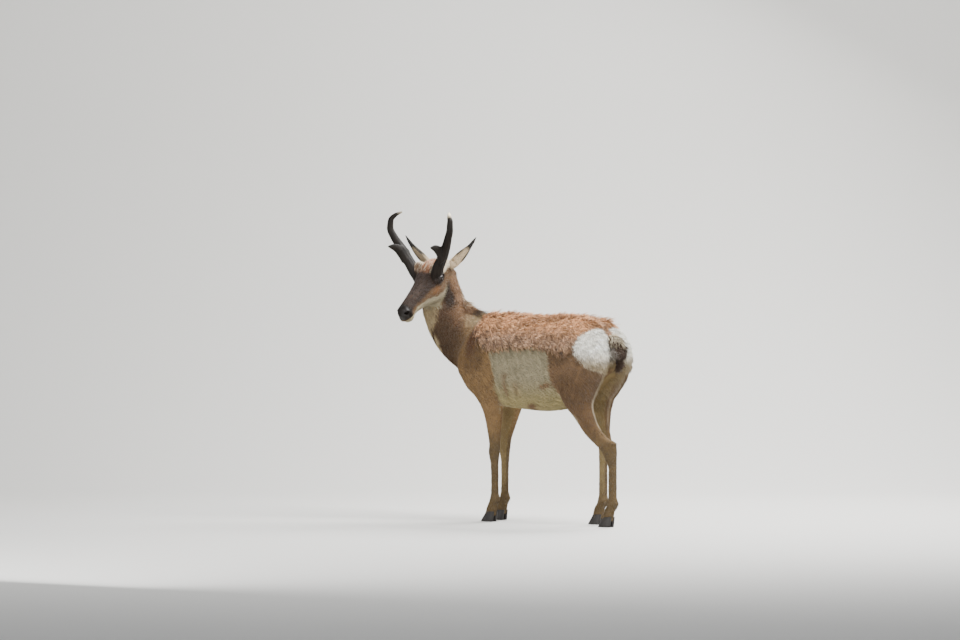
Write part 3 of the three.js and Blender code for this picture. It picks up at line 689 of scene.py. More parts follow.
class Markings:
    """The animal's colours at each place, laid over each other in turn, with the measures that place them: x
    outwards from the middle, y backwards, z up, and a wobble w that breaks the edges."""

    def __init__(self, p, owner):
        self.p, self.owner = p, owner
        self.x, self.y, self.z = np.abs(p[:, 0]), p[:, 1], p[:, 2]
        self.w = wobble(p, 26, 3) * 7 + wobble(p, 9, 4) * 4
        self.colour = np.repeat(paint("shoulder")[None], len(p), axis=0)

    def on(self, part):
        """True for the places on the part."""
        return self.owner == PART_NAMES.index(part)

    def lay(self, name, mask):
        """Moves the colour towards the named one by the mask's share."""
        self.colour = self.colour + (paint(name) - self.colour) * np.clip(mask, 0, 1)[:, None]

    def trunk(self):
        """The pale flank and belly, painted in shade and darker lower down, with dark patches of painted
        shade, and the saddle over them, painted lighter along the top where light falls.
        """
        p, x, y, z, w, lay = self.p, self.x, self.y, self.z, self.w, self.lay
        trunk = self.on("torso")
        edge = saddle_edge(y)
        front = profile(FLANK_FRONT, z)[:, 0]
        rear = profile(FLANK_REAR, z)[:, 0]
        flank = band(y + w, front, rear, 10)
        lay("haunch", ease((y - 95) / 40) * ease((z - 330) / 160))
        # Painted shade: the flank's white hair is laid in the shaded flank colour.
        lay("flank", flank * ease((edge + 2 - z + w) / 12) * (x > 18))
        lay("flank", trunk * ease((500 - z + w) / 24) * band(y, -300, 300, 40) * ease((118 - x) / 20))
        lay("flank", ease((560 - z) / 40) * band(y, 100, 330, 30) * ease((34 - x) / 14))
        # Painted shade under the body: the flank darkens and yellows towards the belly.
        lay("belly", 0.7 * trunk * ease((612 - z + w) / 110) * flank)
        # Patches of painted shade, laid in the haunch's colour.
        for mid_y, mid_z, half_y, half_z, strength in SHADE_PATCHES:
            along = (y - mid_y + w * 0.6) / half_y
            upward = (z - mid_z + w * 0.5 - 0.3 * (y - mid_y)) / half_z
            lay("haunch", strength * ease(1.5 - np.hypot(along, upward)))
        lay("neck_low", 0.55 * band(y, -330, -262, 30) * band(z, 650, 770, 40))
        lay("neck_low", 0.4 * ease(1.4 - np.hypot((y - 168 + w) / 44, (z - 700) / 50)))
        lay("neck_low", 0.5 * band(z + w, 400, 590, 60) * ease((y - rear + w) / 30))
        saddle = ease((z - edge + w) / 12) * band(y + w, *SADDLE_ENDS, 18)
        flecks = ease((wobble(p * [1, 1, 0.7], 13, 12) - 0.05) / 0.5)
        lay("saddle_low", saddle)
        # Lighter along the top of the back: partly the hair's rustier tone, partly painted light from above.
        lay("saddle", saddle * ease((z - 762 + w) / 60))
        lay("haunch", 0.75 * saddle * ease((y - 100 + w) / 50) * ease((782 - z + w) / 60))
        lay("saddle_root", 0.42 * saddle * flecks * ease((816 - z) / 50))
        before = np.hypot((y + 314 + w * 1.4) / 26, (z - 756 + w * 2) / 60)
        lay("saddle_root", 0.6 * ease(1.5 - before) * (x > 40))

    def legs(self):
        """Greyer below and paler inside, the inner sides painted in shade, with a thin pale line behind the
        thigh that is partly painted rim light, and a dark spot at the hock."""
        z, lay = self.z, self.lay
        for name in LEGS:
            mine = self.on(name)
            u, v, _, half_u, half_v = limb_coordinates(self.p, name)
            u, v = u / half_u, v / half_v
            # The inner sides take the pale tone painted in shade.
            hidden = ease((-0.35 - u) / 0.35) * ease((z - 90) / 120) * ease((720 - z) / 60)
            lay("shank", mine * ease((430 - z) / 130))
            lay("inside", mine * hidden * 0.9)
            if name.startswith("hind"):
                # The pale line behind the thigh is partly pale hair and partly painted rim light, and it is
                # laid stronger on the left leg than the right.
                strength = 0.34 if name == "hind_left" else 0.12
                line = band(v, 0.86, 1.3, 0.08) * band(u, -0.3, -0.08, 0.1)
                lay("cream", mine * strength * line * band(z, 420, 620, 40))
                lay("black", mine * 0.6 * ease(1.4 - np.hypot((v - 0.4) / 0.5, (z - 352) / 22)) * (u < 0))

    def rump(self):
        """Two white patches, painted in shade and so darker and yellower below, parted by a tan line, and the
        tail, with a painted shadow beside it.
        """
        x, y, z, w, lay = self.x, self.y, self.z, self.w, self.lay
        patch = rump_patch(self.p, w)
        white = ease(patch * 8) * (y > 200)
        lay("rump", white)
        # Painted shade: the white patches darken and yellow towards their lower edge and below.
        lay("inside", 0.5 * ease((0.3 - patch + w * 0.01) / 0.3) * white * ease((760 - z) / 60))
        lay("throat", 0.6 * ease((742 - z + w) / 60) * white)
        lay("inside", 0.8 * ease((712 - z + w) / 50) * white)
        # The tail's dark colour beside the tail on the rump: the tail's own hair and a painted shadow in the
        # cleft.
        lay("tail", 0.85 * ease((52 - x + w * 0.6) / 16) * band(z, 700, 768, 14) * ease((y - 340) / 12))
        lay("saddle_low", band(x, 0, 15, 10) * band(z, 770, 900, 20) * band(y, 270, 440, 30))
        # Painted shade between the hind legs, below the rump.
        lay("inside", 0.7 * ease((86 - x) / 30) * band(z, 420, 668, 40) * ease((y - 330) / 30))
        tail = self.on("tail")
        flecks = ease((wobble(self.p, 9, 51) + 0.3) / 0.5)
        lay("tail", tail * ease((y - 346) / 10))
        lay("cream", tail * ease((z - 758) / 10) * flecks * 0.8)

    def neck(self):
        """Darker towards the chest, with two pale throat bands, a lighter nape, a thin painted rim light
        along the top of its upper half and a dark tuft at its foot."""
        p, y, z, w, lay = self.p, self.y, self.z, self.w, self.lay
        place, across, up, _, size = NECK_TUBE.coordinates(p)
        t = place / NECK_LAST
        side, high = across / size[:, 0], up / size[:, 1]
        mine = self.on("neck") | ((y < -330) & (z > 690))
        neck = ease(6 - np.hypot(side, high) * 4) * mine
        dip = 0.1 * (1 - side**2) + w * 0.003
        lay("neck", neck * ease((t - 0.1) / 0.2))
        lay("neck_low", neck * 0.7 * band(t, 0.12, 0.5, 0.12) * ease((0.5 - high) / 0.3))
        lay("nape", neck * 0.75 * ease((high - 0.3 + w * 0.01) / 0.6) * ease((t - 0.05) / 0.25))
        lay("throat", neck * band(t + dip, 0.44, 0.5, 0.03) * ease((-0.42 - high) / 0.2))
        lay("throat", neck * 0.85 * band(t + dip, 0.6, 0.84, 0.03) * ease((0.1 - high + w * 0.02) / 0.4))
        # Painted rim light: a thin cream line along the top of the upper neck.
        lay("cream", neck * 0.6 * ease((high - 0.93) / 0.05) * ease((t - 0.45) / 0.1))
        even = np.column_stack([self.x, y, z])
        foot = np.linalg.norm((even - [44, -364, 842]) / [50, 44, 26], axis=1)
        lay("throat", 0.6 * ease((1.7 - foot + w * 0.04) / 1.3) * (z > 720) * (y > -450))
        lay("mask", 0.85 * spot(p, [0, -378, 870], [26, 30, 26]))

    def face(self):
        """A dark mask from the brow to the nose, a pale jaw with black behind it, and a tan and cream
        forehead."""
        p, z, lay = self.p, self.z, self.lay
        head = self.on("head")
        face = even_head(p)
        a, d, l = face.T
        w = wobble(p, 10, 7) * 3
        top, bottom, half, _ = profile(HEAD, np.clip(a, HEAD[0][0], HEAD_LENGTH)).T
        s = (d - (top + bottom) / 2) / ((top - bottom) / 2)
        lay("cheek", head * 1.0)
        jaw = profile(JAW_EDGE, a)[:, 0]
        jaw_end = 66 + 1.2 * np.maximum(-50 - d, 0)
        near = head | (self.on("neck") & (s > -1.2) & (l < half * 1.25) & (a > 20))
        lay("white", near * ease((jaw - s + w * 0.03) / 0.16) * ease((a - jaw_end + w) / 14))
        ahead = (p - SKULL) @ FACING
        latch = np.linalg.norm(np.column_stack([(ahead - 24) / 20, (z - 932) / 54, (l - 52) / 50]), axis=1)
        lay("black", 0.85 * (z > 820) * ease(1.5 - latch + w * 0.03))
        lay("spot", head * 0.8 * spot(face[:, :2], [134, -18], [22, 15], 1.35) * (l > 20))
        mask = head * ease((s + w * 0.03 - 0.05 + 0.0014 * (a - 120)) / 0.4) * ease((a - 100) / 14)
        streaks = ease(0.3 + 1.4 * wobble(p, 12, 17))
        lay("mask", mask)
        lay("bridge", mask * 0.7 * streaks * ease((s - 0.5) / 0.3) * ease((270 - a) / 20))
        lay("black", head * ease((a - 286 + w) / 14) * ease((d + 26) / 6))
        lay("mask", head * spot(face, EYE + [6, 2, 0], [40, 28, 44]))
        lay("black", head * spot(face, [88, 38, 56], [28, 26, 24]))
        lay("black", head * spot(face, EYE, [28, 18, 34], 1.4))
        crown = ease((d - 30) / 14)
        lay("cream", head * 0.75 * band(a + w, -14, 62, 10) * ease((d - 8) / 12))
        lay("forehead", head * band(a + w, 26, 104, 14) * ease((31 - l + w) / 9) * crown)
        lay("mask", 0.6 * head * ease((a - 82 + w * 2) / 16) * band(l, 0, 30, 10) * crown)
        lay("cream", 0.8 * head * band(a + w, 20, 74, 8) * ease((d - 50 + w) / 8) * ease((l - 26) / 8))
        brow = head * band(a, 16, 100, 10) * ease((d - 34) / 14)
        lay("saddle_root", 0.6 * brow * ease(wobble(p, 7, 61) * 2.4))
        lay("cream", 0.5 * brow * ease(wobble(p, 8, 62) * 2.4 - 0.3))


def marks(p, owner):
    """The animal's colours at each place, as light, for the skin and the hair alike."""
    markings = Markings(p, owner)
    markings.trunk()
    markings.legs()
    markings.rump()
    markings.neck()
    markings.face()
    shade = 1 + 0.1 * wobble(p, 34, 9) + 0.08 * wobble(p, 12, 10)
    return np.clip(markings.colour * shade[:, None], 0, 1)


def hair_lie(p, normal, weight):
    """Which way the hair lies: a mean of each part's own way, by how near each part is, laid flat on the
    skin."""
    way = np.zeros_like(p)
    flows = {
        "torso": np.array([0.0, 0.9, -0.42]),
        "neck": None,
        "head": -MUZZLE * 0.94 - BROW * 0.1,
        "tail": np.array([0.0, 0.1, -1.0]),
    }
    place = NECK_TUBE.coordinates(p)[0]
    k = np.arange(len(NECK_TUBE.c))
    down = -np.stack([np.interp(place, k, NECK_TUBE.along[:, j]) for j in range(3)], axis=1)
    for row, name in enumerate(PART_NAMES):
        if name == "neck":
            flow = down + np.array([0, 0.15, -0.1])
        elif name in flows:
            flow = flows[name]
        else:
            high = ease((p[:, 2] - 480) / 200)[:, None]
            flow = np.array([0.0, 0.08, -1.0]) * (1 - high) + np.array([0.0, 0.75, -0.65]) * high
        way += weight[row][:, None] * flow
    way += 0.12 * np.column_stack([wobble(p, 60, 21), wobble(p, 60, 22), wobble(p, 60, 23)])
    return unit(way - normal * np.sum(way * normal, axis=1)[:, None])


def unwrap(p, owner):
    """A place on a sheet from 0 to 1 for each place on the skin: each part has its own oblong, laid out along
    the part and round it."""
    sheet = np.zeros((len(p), 2))
    for row, (name, (low, high, _, _)) in enumerate(PARTS.items()):
        mine = owner == row
        if not mine.any():
            continue
        q = p[mine]
        if name == "neck":
            place, u, v, _, _ = NECK_TUBE.coordinates(q)
            along, angle = place / NECK_LAST, np.arctan2(u, -v)
        elif name == "head":
            h = to_head(q)
            along, angle = (h[:, 0] + 40) / 380, np.arctan2(h[:, 2], h[:, 1] + 15)
        elif name in LEGS:
            u, v, _, _, _ = limb_coordinates(q, name)
            along, angle = q[:, 2] / 900, np.arctan2(v, u)
        elif name == "torso":
            along = (q[:, 1] - low[1]) / (high[1] - low[1])
            angle = np.arctan2(q[:, 0], q[:, 2] - 670)
        else:
            along = (q[:, 2] - low[2]) / (high[2] - low[2])
            angle = np.arctan2(q[:, 0], q[:, 1] - 390)
        round_share = angle / (2 * math.pi) + 0.5
        column, line = row % 4, row // 4
        sheet[mine, 0] = (column + 0.04 + 0.92 * np.clip(along, 0, 1)) / 4
        sheet[mine, 1] = (line + 0.04 + 0.92 * np.clip(round_share, 0, 1)) / 2
    return sheet


def add_tint(made, colours):
    """The colours of a mesh's points, in the attribute tint."""
    tint = made.data.color_attributes.new("tint", "FLOAT_COLOR", "POINT")
    values = np.column_stack([colours, np.ones(len(colours))])
    tint.data.foreach_set("color", values.astype(np.float32).ravel())


def link(name, data):
    """An object for the mesh, light or camera, in the scene."""
    made = bpy.data.objects.new(name, data)
    bpy.context.scene.collection.objects.link(made)
    return made


def make_object(name, points, faces, colours):
    """A smooth mesh object from places in millimetres and faces of one size, with its colours."""
    mesh = bpy.data.meshes.new(name)
    sides = faces.shape[1]
    mesh.vertices.add(len(points))
    mesh.vertices.foreach_set("co", ((points + ORIGIN) * MM).astype(np.float32).ravel())
    mesh.loops.add(faces.size)
    mesh.loops.foreach_set("vertex_index", faces.astype(np.int32).ravel())
    mesh.polygons.add(len(faces))
    mesh.polygons.foreach_set("loop_start", np.arange(0, faces.size, sides, dtype=np.int32))
    mesh.polygons.foreach_set("loop_total", np.full(len(faces), sides, np.int32))
    mesh.update(calc_edges=True)
    mesh.validate()
    mesh.polygons.foreach_set("use_smooth", np.ones(len(mesh.polygons), bool))
    made = link(name, mesh)
    add_tint(made, np.clip(colours, 0, 1))
    return made


def make_lathed(name, points, turns, colours):
    """A smooth mesh object from closed rings of so many points each, level by level, joined by quads, and
    closed at both ends by triangles to the last two points."""
    levels = (len(points) - 2) // turns
    i = np.arange(levels - 1)[:, None] * turns
    j = np.arange(turns)[None]
    k = (j + 1) % turns
    quads = np.stack([i + j, i + turns + j, i + turns + k, i + k], axis=-1).reshape(-1, 4)
    start, stop, last = levels * turns, levels * turns + 1, (levels - 1) * turns
    faces = quads.tolist()
    faces += [[start, a, (a + 1) % turns] for a in range(turns)]
    faces += [[stop, last + (a + 1) % turns, last + a] for a in range(turns)]
    mesh = bpy.data.meshes.new(name)
    mesh.from_pydata(((points + ORIGIN) * MM).tolist(), [], faces)
    mesh.polygons.foreach_set("use_smooth", np.ones(len(mesh.polygons), bool))
    made = link(name, mesh)
    add_tint(made, colours)
    return made


def net_of(distance, low, high, cell):
    """The points, quads and normals of the surface where the distance is 0, inside a box, on a grid of the
    cell."""
    points, quads = surface_net(distance, *[np.arange(low[n], high[n], cell) for n in range(3)])
    points, normal = settle(distance, points)
    return points, quads, normal


def all_of(name, count):
    """The named colour, so many times."""
    return np.repeat(paint(name)[None], count, axis=0)


def blend_to(colours, name, share):
    """The colours, moved towards the named one by the share."""
    return colours + (paint(name) - colours) * share[:, None]


def add_float(made, name, values):
    """A number for each point of a mesh."""
    made.data.attributes.new(name, "FLOAT", "POINT").data.foreach_set("value", values.astype(np.float32))


def adopt(made, nodes, material):
    """Gives a piece its material and the body that it rides on, and hides the solids that it stands for."""
    made.data.materials.append(material)
    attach(made, "root")
    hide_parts(*nodes)


def grain_group():
    """Shared fine hair: from a place, a scale and a strength, a shade near 1 and a bumped normal, both from
    noise that is drawn out along the body."""
    name = "Hair grain"
    if name in bpy.data.node_groups:
        return bpy.data.node_groups[name]
    group = bpy.data.node_groups.new(name, "ShaderNodeTree")
    face = group.interface
    face.new_socket("Vector", in_out="INPUT", socket_type="NodeSocketVector")
    face.new_socket("Scale", in_out="INPUT", socket_type="NodeSocketFloat")
    face.new_socket("Depth", in_out="INPUT", socket_type="NodeSocketFloat")
    face.new_socket("Shade", in_out="OUTPUT", socket_type="NodeSocketFloat")
    face.new_socket("Normal", in_out="OUTPUT", socket_type="NodeSocketVector")
    nodes, links = group.nodes, group.links
    source, sink = nodes.new("NodeGroupInput"), nodes.new("NodeGroupOutput")
    stretch = nodes.new("ShaderNodeVectorMath")
    stretch.operation = "MULTIPLY"
    stretch.inputs[1].default_value = (1.0, 0.35, 0.45)
    noise = nodes.new("ShaderNodeTexNoise")
    noise.inputs["Detail"].default_value = 3.0
    span = nodes.new("ShaderNodeMapRange")
    span.inputs["To Min"].default_value = 0.82
    span.inputs["To Max"].default_value = 1.16
    bump = nodes.new("ShaderNodeBump")
    bump.inputs["Distance"].default_value = 0.002
    links.new(source.outputs["Vector"], stretch.inputs[0])
    links.new(stretch.outputs[0], noise.inputs["Vector"])
    links.new(source.outputs["Scale"], noise.inputs["Scale"])
    links.new(noise.outputs["Fac"], span.inputs["Value"])
    links.new(span.outputs[0], sink.inputs["Shade"])
    links.new(noise.outputs["Fac"], bump.inputs["Height"])
    links.new(source.outputs["Depth"], bump.inputs["Strength"])
    links.new(bump.outputs[0], sink.inputs["Normal"])
    return group


def tinted_material(name, rough, scale, depth, specular=0.25, wet=False, sheen=0.0):
    """A material whose colour is the tint attribute times the grain's shade, with the grain's bump."""
    if name in bpy.data.materials:
        return bpy.data.materials[name]
    material = bpy.data.materials.new(name)
    material.use_nodes = True
    nodes, links = material.node_tree.nodes, material.node_tree.links
    shader = nodes["Principled BSDF"]
    shader.inputs["Roughness"].default_value = rough
    shader.inputs["Specular IOR Level"].default_value = specular
    shader.inputs["Sheen Weight"].default_value = sheen
    shader.inputs["Sheen Roughness"].default_value = 0.6
    tint = nodes.new("ShaderNodeAttribute")
    tint.attribute_name = "tint"
    where = nodes.new("ShaderNodeTexCoord")
    grain = nodes.new("ShaderNodeGroup")
    grain.node_tree = grain_group()
    grain.inputs["Scale"].default_value = scale
    grain.inputs["Depth"].default_value = depth
    shade = nodes.new("ShaderNodeVectorMath")
    shade.operation = "SCALE"
    links.new(where.outputs["Object"], grain.inputs["Vector"])
    links.new(tint.outputs["Color"], shade.inputs[0])
    links.new(grain.outputs["Shade"], shade.inputs["Scale"])
    links.new(shade.outputs[0], shader.inputs["Base Color"])
    links.new(grain.outputs["Normal"], shader.inputs["Normal"])
    if wet:
        gloss = nodes.new("ShaderNodeAttribute")
        gloss.attribute_name = "gloss"
        drier = nodes.new("ShaderNodeMapRange")
        drier.inputs["To Min"].default_value = rough
        drier.inputs["To Max"].default_value = 0.42
        links.new(gloss.outputs["Fac"], drier.inputs["Value"])
        links.new(drier.outputs[0], shader.inputs["Roughness"])
    return material


_body = {}


def body():
    """The skin's points, quads, normals, nearest part and nearness of each part, worked out once."""
    if _body:
        return _body
    shape = bpy.context.scene.pronghorn_shape
    fine, coarse = shape.fine_cell, shape.coarse_cell

    def axis(low, high, near_low, near_high):
        before = np.arange(low, near_low, coarse)
        middle = np.arange(near_low, near_high, fine)
        return np.concatenate([before, middle, np.arange(near_high, high, coarse)])

    xs = axis(-200, 320, -30, 300)
    ys = axis(-740, 500, -650, -470)
    zs = axis(12, 1180, 850, 1110)
    points, quads = surface_net(body_distance, xs, ys, zs)
    points, normal = settle(body_distance, points)
    near = part_distances(points)
    _body.update(points=points, quads=quads, normal=normal, owner=near.argmin(0), near=near)
    return _body


def weights_of(near):
    """How much each part counts at each place: exp(-(distance - the smallest) / 16), scaled to sum to 1."""
    weight = np.exp(-(near - near.min(0)) / 16.0)
    return weight / weight.sum(0)


class PronghornShape(bpy.types.PropertyGroup):
    """Sizes of the skin's mesh."""

    fine_cell: FloatProperty(
        name="Face cell",
        description="Size of the skin's faces at the head, in mm",
        default=2.6,
        min=1.0,
        max=10.0,
    )
    coarse_cell: FloatProperty(
        name="Body cell",
        description="Size of the skin's faces elsewhere, in mm",
        default=5.5,
        min=2.0,
        max=20.0,
    )
    seed: IntProperty(name="Seed", description="Start of the repeatable random draws", default=11)


class PronghornCoat(bpy.types.PropertyGroup):
    """How much hair there is."""

    amount: FloatProperty(
        name="Amount",
        description="Share of the full number of tufts",
        default=1.0,
        min=0.05,
        max=1.2,
        subtype="FACTOR",
    )
    length: FloatProperty(
        name="Length",
        description="Share of the hair's full length",
        default=1.0,
        min=0.2,
        max=2.0,
        subtype="FACTOR",
    )


class PronghornColours(bpy.types.PropertyGroup):
    """The animal's main colours."""

    saddle: colour_setting("saddle", "back")
    saddle_low: colour_setting("saddle_low", "lower edge of the back")
    shoulder: colour_setting("shoulder", "shoulder")
    haunch: colour_setting("haunch", "haunch")
    flank: colour_setting("flank", "flank and belly")
    rump: colour_setting("rump", "rump")
    neck: colour_setting("neck", "neck")
    shank: colour_setting("shank", "lower legs")
    mask: colour_setting("mask", "dark of the face")
    forehead: colour_setting("forehead", "forehead")
    white: colour_setting("white", "jaw")
    horn: colour_setting("horn", "horns")
    hoof: colour_setting("hoof", "hooves")


class PronghornStage(bpy.types.PropertyGroup):
    """The camera and the light."""

    azimuth: FloatProperty(
        name="Azimuth",
        description="How far round the camera stands, from the animal's front towards its left",
        default=math.radians(131),
        subtype="ANGLE",
        unit="ROTATION",
    )
    elevation: FloatProperty(
        name="Elevation",
        description="How far the camera looks down",
        default=math.radians(2.5),
        subtype="ANGLE",
        unit="ROTATION",
    )
    light: FloatProperty(
        name="Light",
        description="Power shared by the three lights",
        default=900.0,
        min=0.0,
        subtype="POWER",
        unit="POWER",
    )


class PRONGHORN_OT_skin(bpy.types.Operator):
    """One closed skin over the whole body, under the coat"""

    bl_idname = "pronghorn.skin"
    bl_label = "Skin"

    def execute(self, context):
        data = body()
        points, owner = data["points"], data["owner"]
        made = make_object("skin", points, data["quads"], marks(points, owner) * 0.86)
        q = even_head(points)
        nose = ease((q[:, 0] - HEAD_LENGTH + 30) / 12) * ease((q[:, 1] + 26) / 8)
        rim = spot(q, EYE, [23, 15, 30], 1.25)
        add_float(made, "gloss", np.clip(nose + rim, 0, 1) * (owner == PART_NAMES.index("head")))
        nodes = ["torso", "neck", "head", "tail"] + ["leg_" + name for name in LEGS]
        adopt(made, nodes, skin_material())
        return {"FINISHED"}


PATCH = 0.003

# zone: [tufts, length, width, thickness, rise, droop, rings, darker root, clump size, solids]
COAT = {
    "saddle_left": (12000, 44, 4.2, 1.2, 0.62, 0.4, 3, 0.74, 17, ["torso"]),
    "saddle_right": (12000, 44, 4.2, 1.2, 0.62, 0.4, 3, 0.74, 17, ["torso"]),
    "flank_left": (12500, 20, 3.2, 0.8, 0.24, 0.2, 2, 0.3, 0, ["torso", "leg_fore_left", "leg_hind_left"]),
    "flank_right": (12500, 20, 3.2, 0.8, 0.24, 0.2, 2, 0.3, 0, ["torso", "leg_fore_right", "leg_hind_right"]),
    "rump": (10500, 27, 3.6, 1.0, 0.44, 0.3, 3, 0.1, 10, ["torso"]),
    "neck": (16000, 25, 3.8, 0.8, 0.3, 0.24, 2, 0.3, 0, ["neck"]),
    "head": (16500, 9.5, 1.8, 0.45, 0.3, 0.2, 2, 0.2, 0, ["head"]),
    "legs_fore": (9500, 13, 2.2, 0.6, 0.22, 0.18, 2, 0.25, 0, ["leg_fore_left", "leg_fore_right"]),
    "legs_hind": (11500, 14, 2.3, 0.6, 0.22, 0.18, 2, 0.25, 0, ["leg_hind_left", "leg_hind_right"]),
    "tail": (3200, 38, 3.4, 1.0, 0.34, 0.3, 3, 0.25, 10, ["tail"]),
    "mane": (1300, 44, 3.4, 1.0, 0.34, 0.26, 3, 0.3, 10, ["neck", "torso"]),
}


def skin_material():
    """The material under the hair, glossy where the attribute gloss says so."""
    return tinted_material("Skin", 0.85, 420.0, 0.5, wet=True)


def coat_material():
    """The material of all the hair."""
    return tinted_material("Coat", 0.8, 900.0, 0.15, specular=0.12, sheen=0.12)


def zone_of(p, owner):
    """The coat zone of each place, as its number in COAT."""
    names = list(COAT)
    x, y, z = p.T
    left = x > 0
    part = np.array(PART_NAMES)[owner]
    zone = np.where(left, names.index("flank_left"), names.index("flank_right"))
    w = wobble(p, 26, 3) * 7
    trunk = (part == "torso") | (np.isin(part, list(LEGS)) & (z > 500))
    saddle = trunk & (z + w > saddle_edge(y)) & (y > -322) & ((y < 296) | ((np.abs(x) < 20) & (y < 356)))
    zone = np.where(saddle, np.where(left, names.index("saddle_left"), names.index("saddle_right")), zone)
    rump = trunk & (rump_patch(p, w) > -0.02) & (y > 200) & ~((np.abs(x) < 26) & (y > 336))
    zone = np.where(rump, names.index("rump"), zone)
    legs = np.isin(part, list(LEGS)) & (z <= 500)
    zone = np.where(legs, np.where(y < 0, names.index("legs_fore"), names.index("legs_hind")), zone)
    for name in ("neck", "head", "tail"):
        zone = np.where(part == name, names.index(name), zone)
    place, across, up, _, size = NECK_TUBE.coordinates(p)
    crest = (up > size[:, 1] * 0.93) & (np.abs(across) < 16) & (y < -326) & (place < 22) & (z > 760)
    return np.where(crest & np.isin(part, ["neck", "torso"]), names.index("mane"), zone)


def bald(p):
    """1 where no hair grows: the nose, the lips' edge, the eyes and the hooves' tops."""
    q = even_head(p)
    nose = (q[:, 0] > HEAD_LENGTH - 20) & (q[:, 1] > -20)
    eye = np.linalg.norm((q - EYE) / [22, 15, 32], axis=1) < 1
    return (nose | eye) & (p[:, 2] > 820) | (p[:, 2] < 34)


def grown(name, p):
    """How much longer or shorter the hair is at each place than its zone's own length."""
    if name != "head":
        return np.ones(len(p))
    q = to_head(p)
    poll = band(q[:, 0], -20, 84, 16) * ease((q[:, 1] - 24) / 16)
    jaw = ease((60 - q[:, 0]) / 40) * ease((10 - q[:, 1]) / 30)
    muzzle = ease((q[:, 0] - 200) / 80)
    return 1 + 1.2 * poll + 0.9 * jaw - 0.45 * muzzle


def quad_areas(points, quads):
    """The area of each quad: half the length of its diagonals' cross product."""
    corner = points[quads]
    return np.linalg.norm(np.cross(corner[:, 2] - corner[:, 0], corner[:, 3] - corner[:, 1]), axis=1) / 2


def scatter(quads, area, here, count, rng):
    """Random places on the quads named in here, by area: the quad of each place, and a function that blends
    the values of its corners."""
    face = here[rng.choice(len(here), count, p=area[here] / area[here].sum())]
    mix = rng.dirichlet([1, 1, 1, 1], count)
    return face, lambda values: np.einsum("nk,nkc->nc", mix, values[quads[face]])


def tuft_faces(rings, count):
    """The triangles of closed tufts, each with a three-cornered root, a few rings and a tip."""
    faces = [[0, 2, 1]]
    for r in range(rings - 1):
        for c in range(3):
            a, b = 3 * r + c, 3 * r + (c + 1) % 3
            faces += [[a, b, b + 3], [a, b + 3, a + 3]]
    last = 3 * (rings - 1)
    faces += [[last + c, last + (c + 1) % 3, last + 3] for c in range(3)]
    per = 3 * rings + 1
    return (np.arange(count)[:, None, None] * per + np.array(faces)[None]).reshape(-1, 3)


def tuft_shares(rings):
    """How far along the tuft each of its points is, from 0 at the root to 1 at the tip."""
    return np.append(np.repeat(np.linspace(0, 1, rings + 1)[:-1], 3), 1.0)


def add_patches(made, home, rings):
    """The map OFBake: each tuft is a patch 0.003 across at its root's place on the unwrap."""
    across = np.append(np.tile([-0.5, 0.5, 0.0], rings), 0.0)
    patch = np.column_stack([across, tuft_shares(rings) - 0.5]) * PATCH
    spots = (home[:, None, :] + patch[None]).reshape(-1, 2)
    layer = made.data.uv_layers.new(name="OFBake")
    corner = np.empty(len(made.data.loops), np.int32)
    made.data.loops.foreach_get("vertex_index", corner)
    layer.data.foreach_set("uv", spots[corner].astype(np.float32).ravel())


def build_tufts(name, p, normal, lie, owner, setting, scale, rng):
    """Closed, tapered tufts of a three-cornered section. The middle of a tuft at share t is its root, plus
    its length times t along the lie, plus its length times (rise t - droop t squared) outwards. Tips in one
    clump are drawn together."""
    _, length, width, thick, rise, droop, rings, dark, clump, _ = setting
    count = len(p)
    long = length * scale * rng.uniform(0.7, 1.25, count)[:, None] * grown(name, p)[:, None]
    wide = width * rng.uniform(0.75, 1.3, count)[:, None]
    side = np.cross(lie, normal)
    turn = rng.normal(0, 0.34 if clump else 0.17, count)[:, None]
    lie = unit(lie + side * turn)
    side = np.cross(lie, normal)
    lift = rise * rng.uniform(0.6, 1.3, count)[:, None]
    pull = np.zeros_like(p)
    if clump:
        cell = np.floor((p + 3 * rng.normal(size=3)) / clump).astype(np.int64)
        _, group = np.unique(cell @ np.array([1, 4096, 4096 * 4096]), return_inverse=True)
        size = np.bincount(group).astype(float)
        mean = np.stack([np.bincount(group, p[:, n]) / size for n in range(3)], axis=1)[group]
        pull = (mean - p) * 0.6
        lift = lift * (0.7 + 0.6 * rng.uniform(size=len(size))[group][:, None])
    rows = []
    for t in np.linspace(0, 1, rings + 1)[:-1]:
        outward = normal * (long * (lift * t - droop * t * t) - 1.5 * (1 - t))
        middle = p + lie * long * t + outward + pull * t
        w = wide * (1 - 0.55 * t) / 2
        h = thick * (1 - 0.4 * t)
        rows += [middle - side * w, middle + side * w, middle + normal * h]
    tip = p + lie * long + normal * long * (lift - droop) + pull
    points = np.stack(rows + [tip], axis=1).reshape(-1, 3)
    spread = 0.3 if name.startswith("saddle") else 0.15
    base = marks(p, owner) * rng.uniform(1 - spread, 1 + spread, count)[:, None]
    if clump:
        base = base * (1 + 1.6 * spread * rng.uniform(-1, 0.8, len(size))[group][:, None])
    fade = (1 - dark) + dark * ease(tuft_shares(rings) / 0.7)
    colours = (base[:, None, :] * fade[None, :, None]).reshape(-1, 3)
    made = make_object("coat_" + name, points, tuft_faces(rings, count), colours)
    add_patches(made, unwrap(p, owner), rings)
    return made


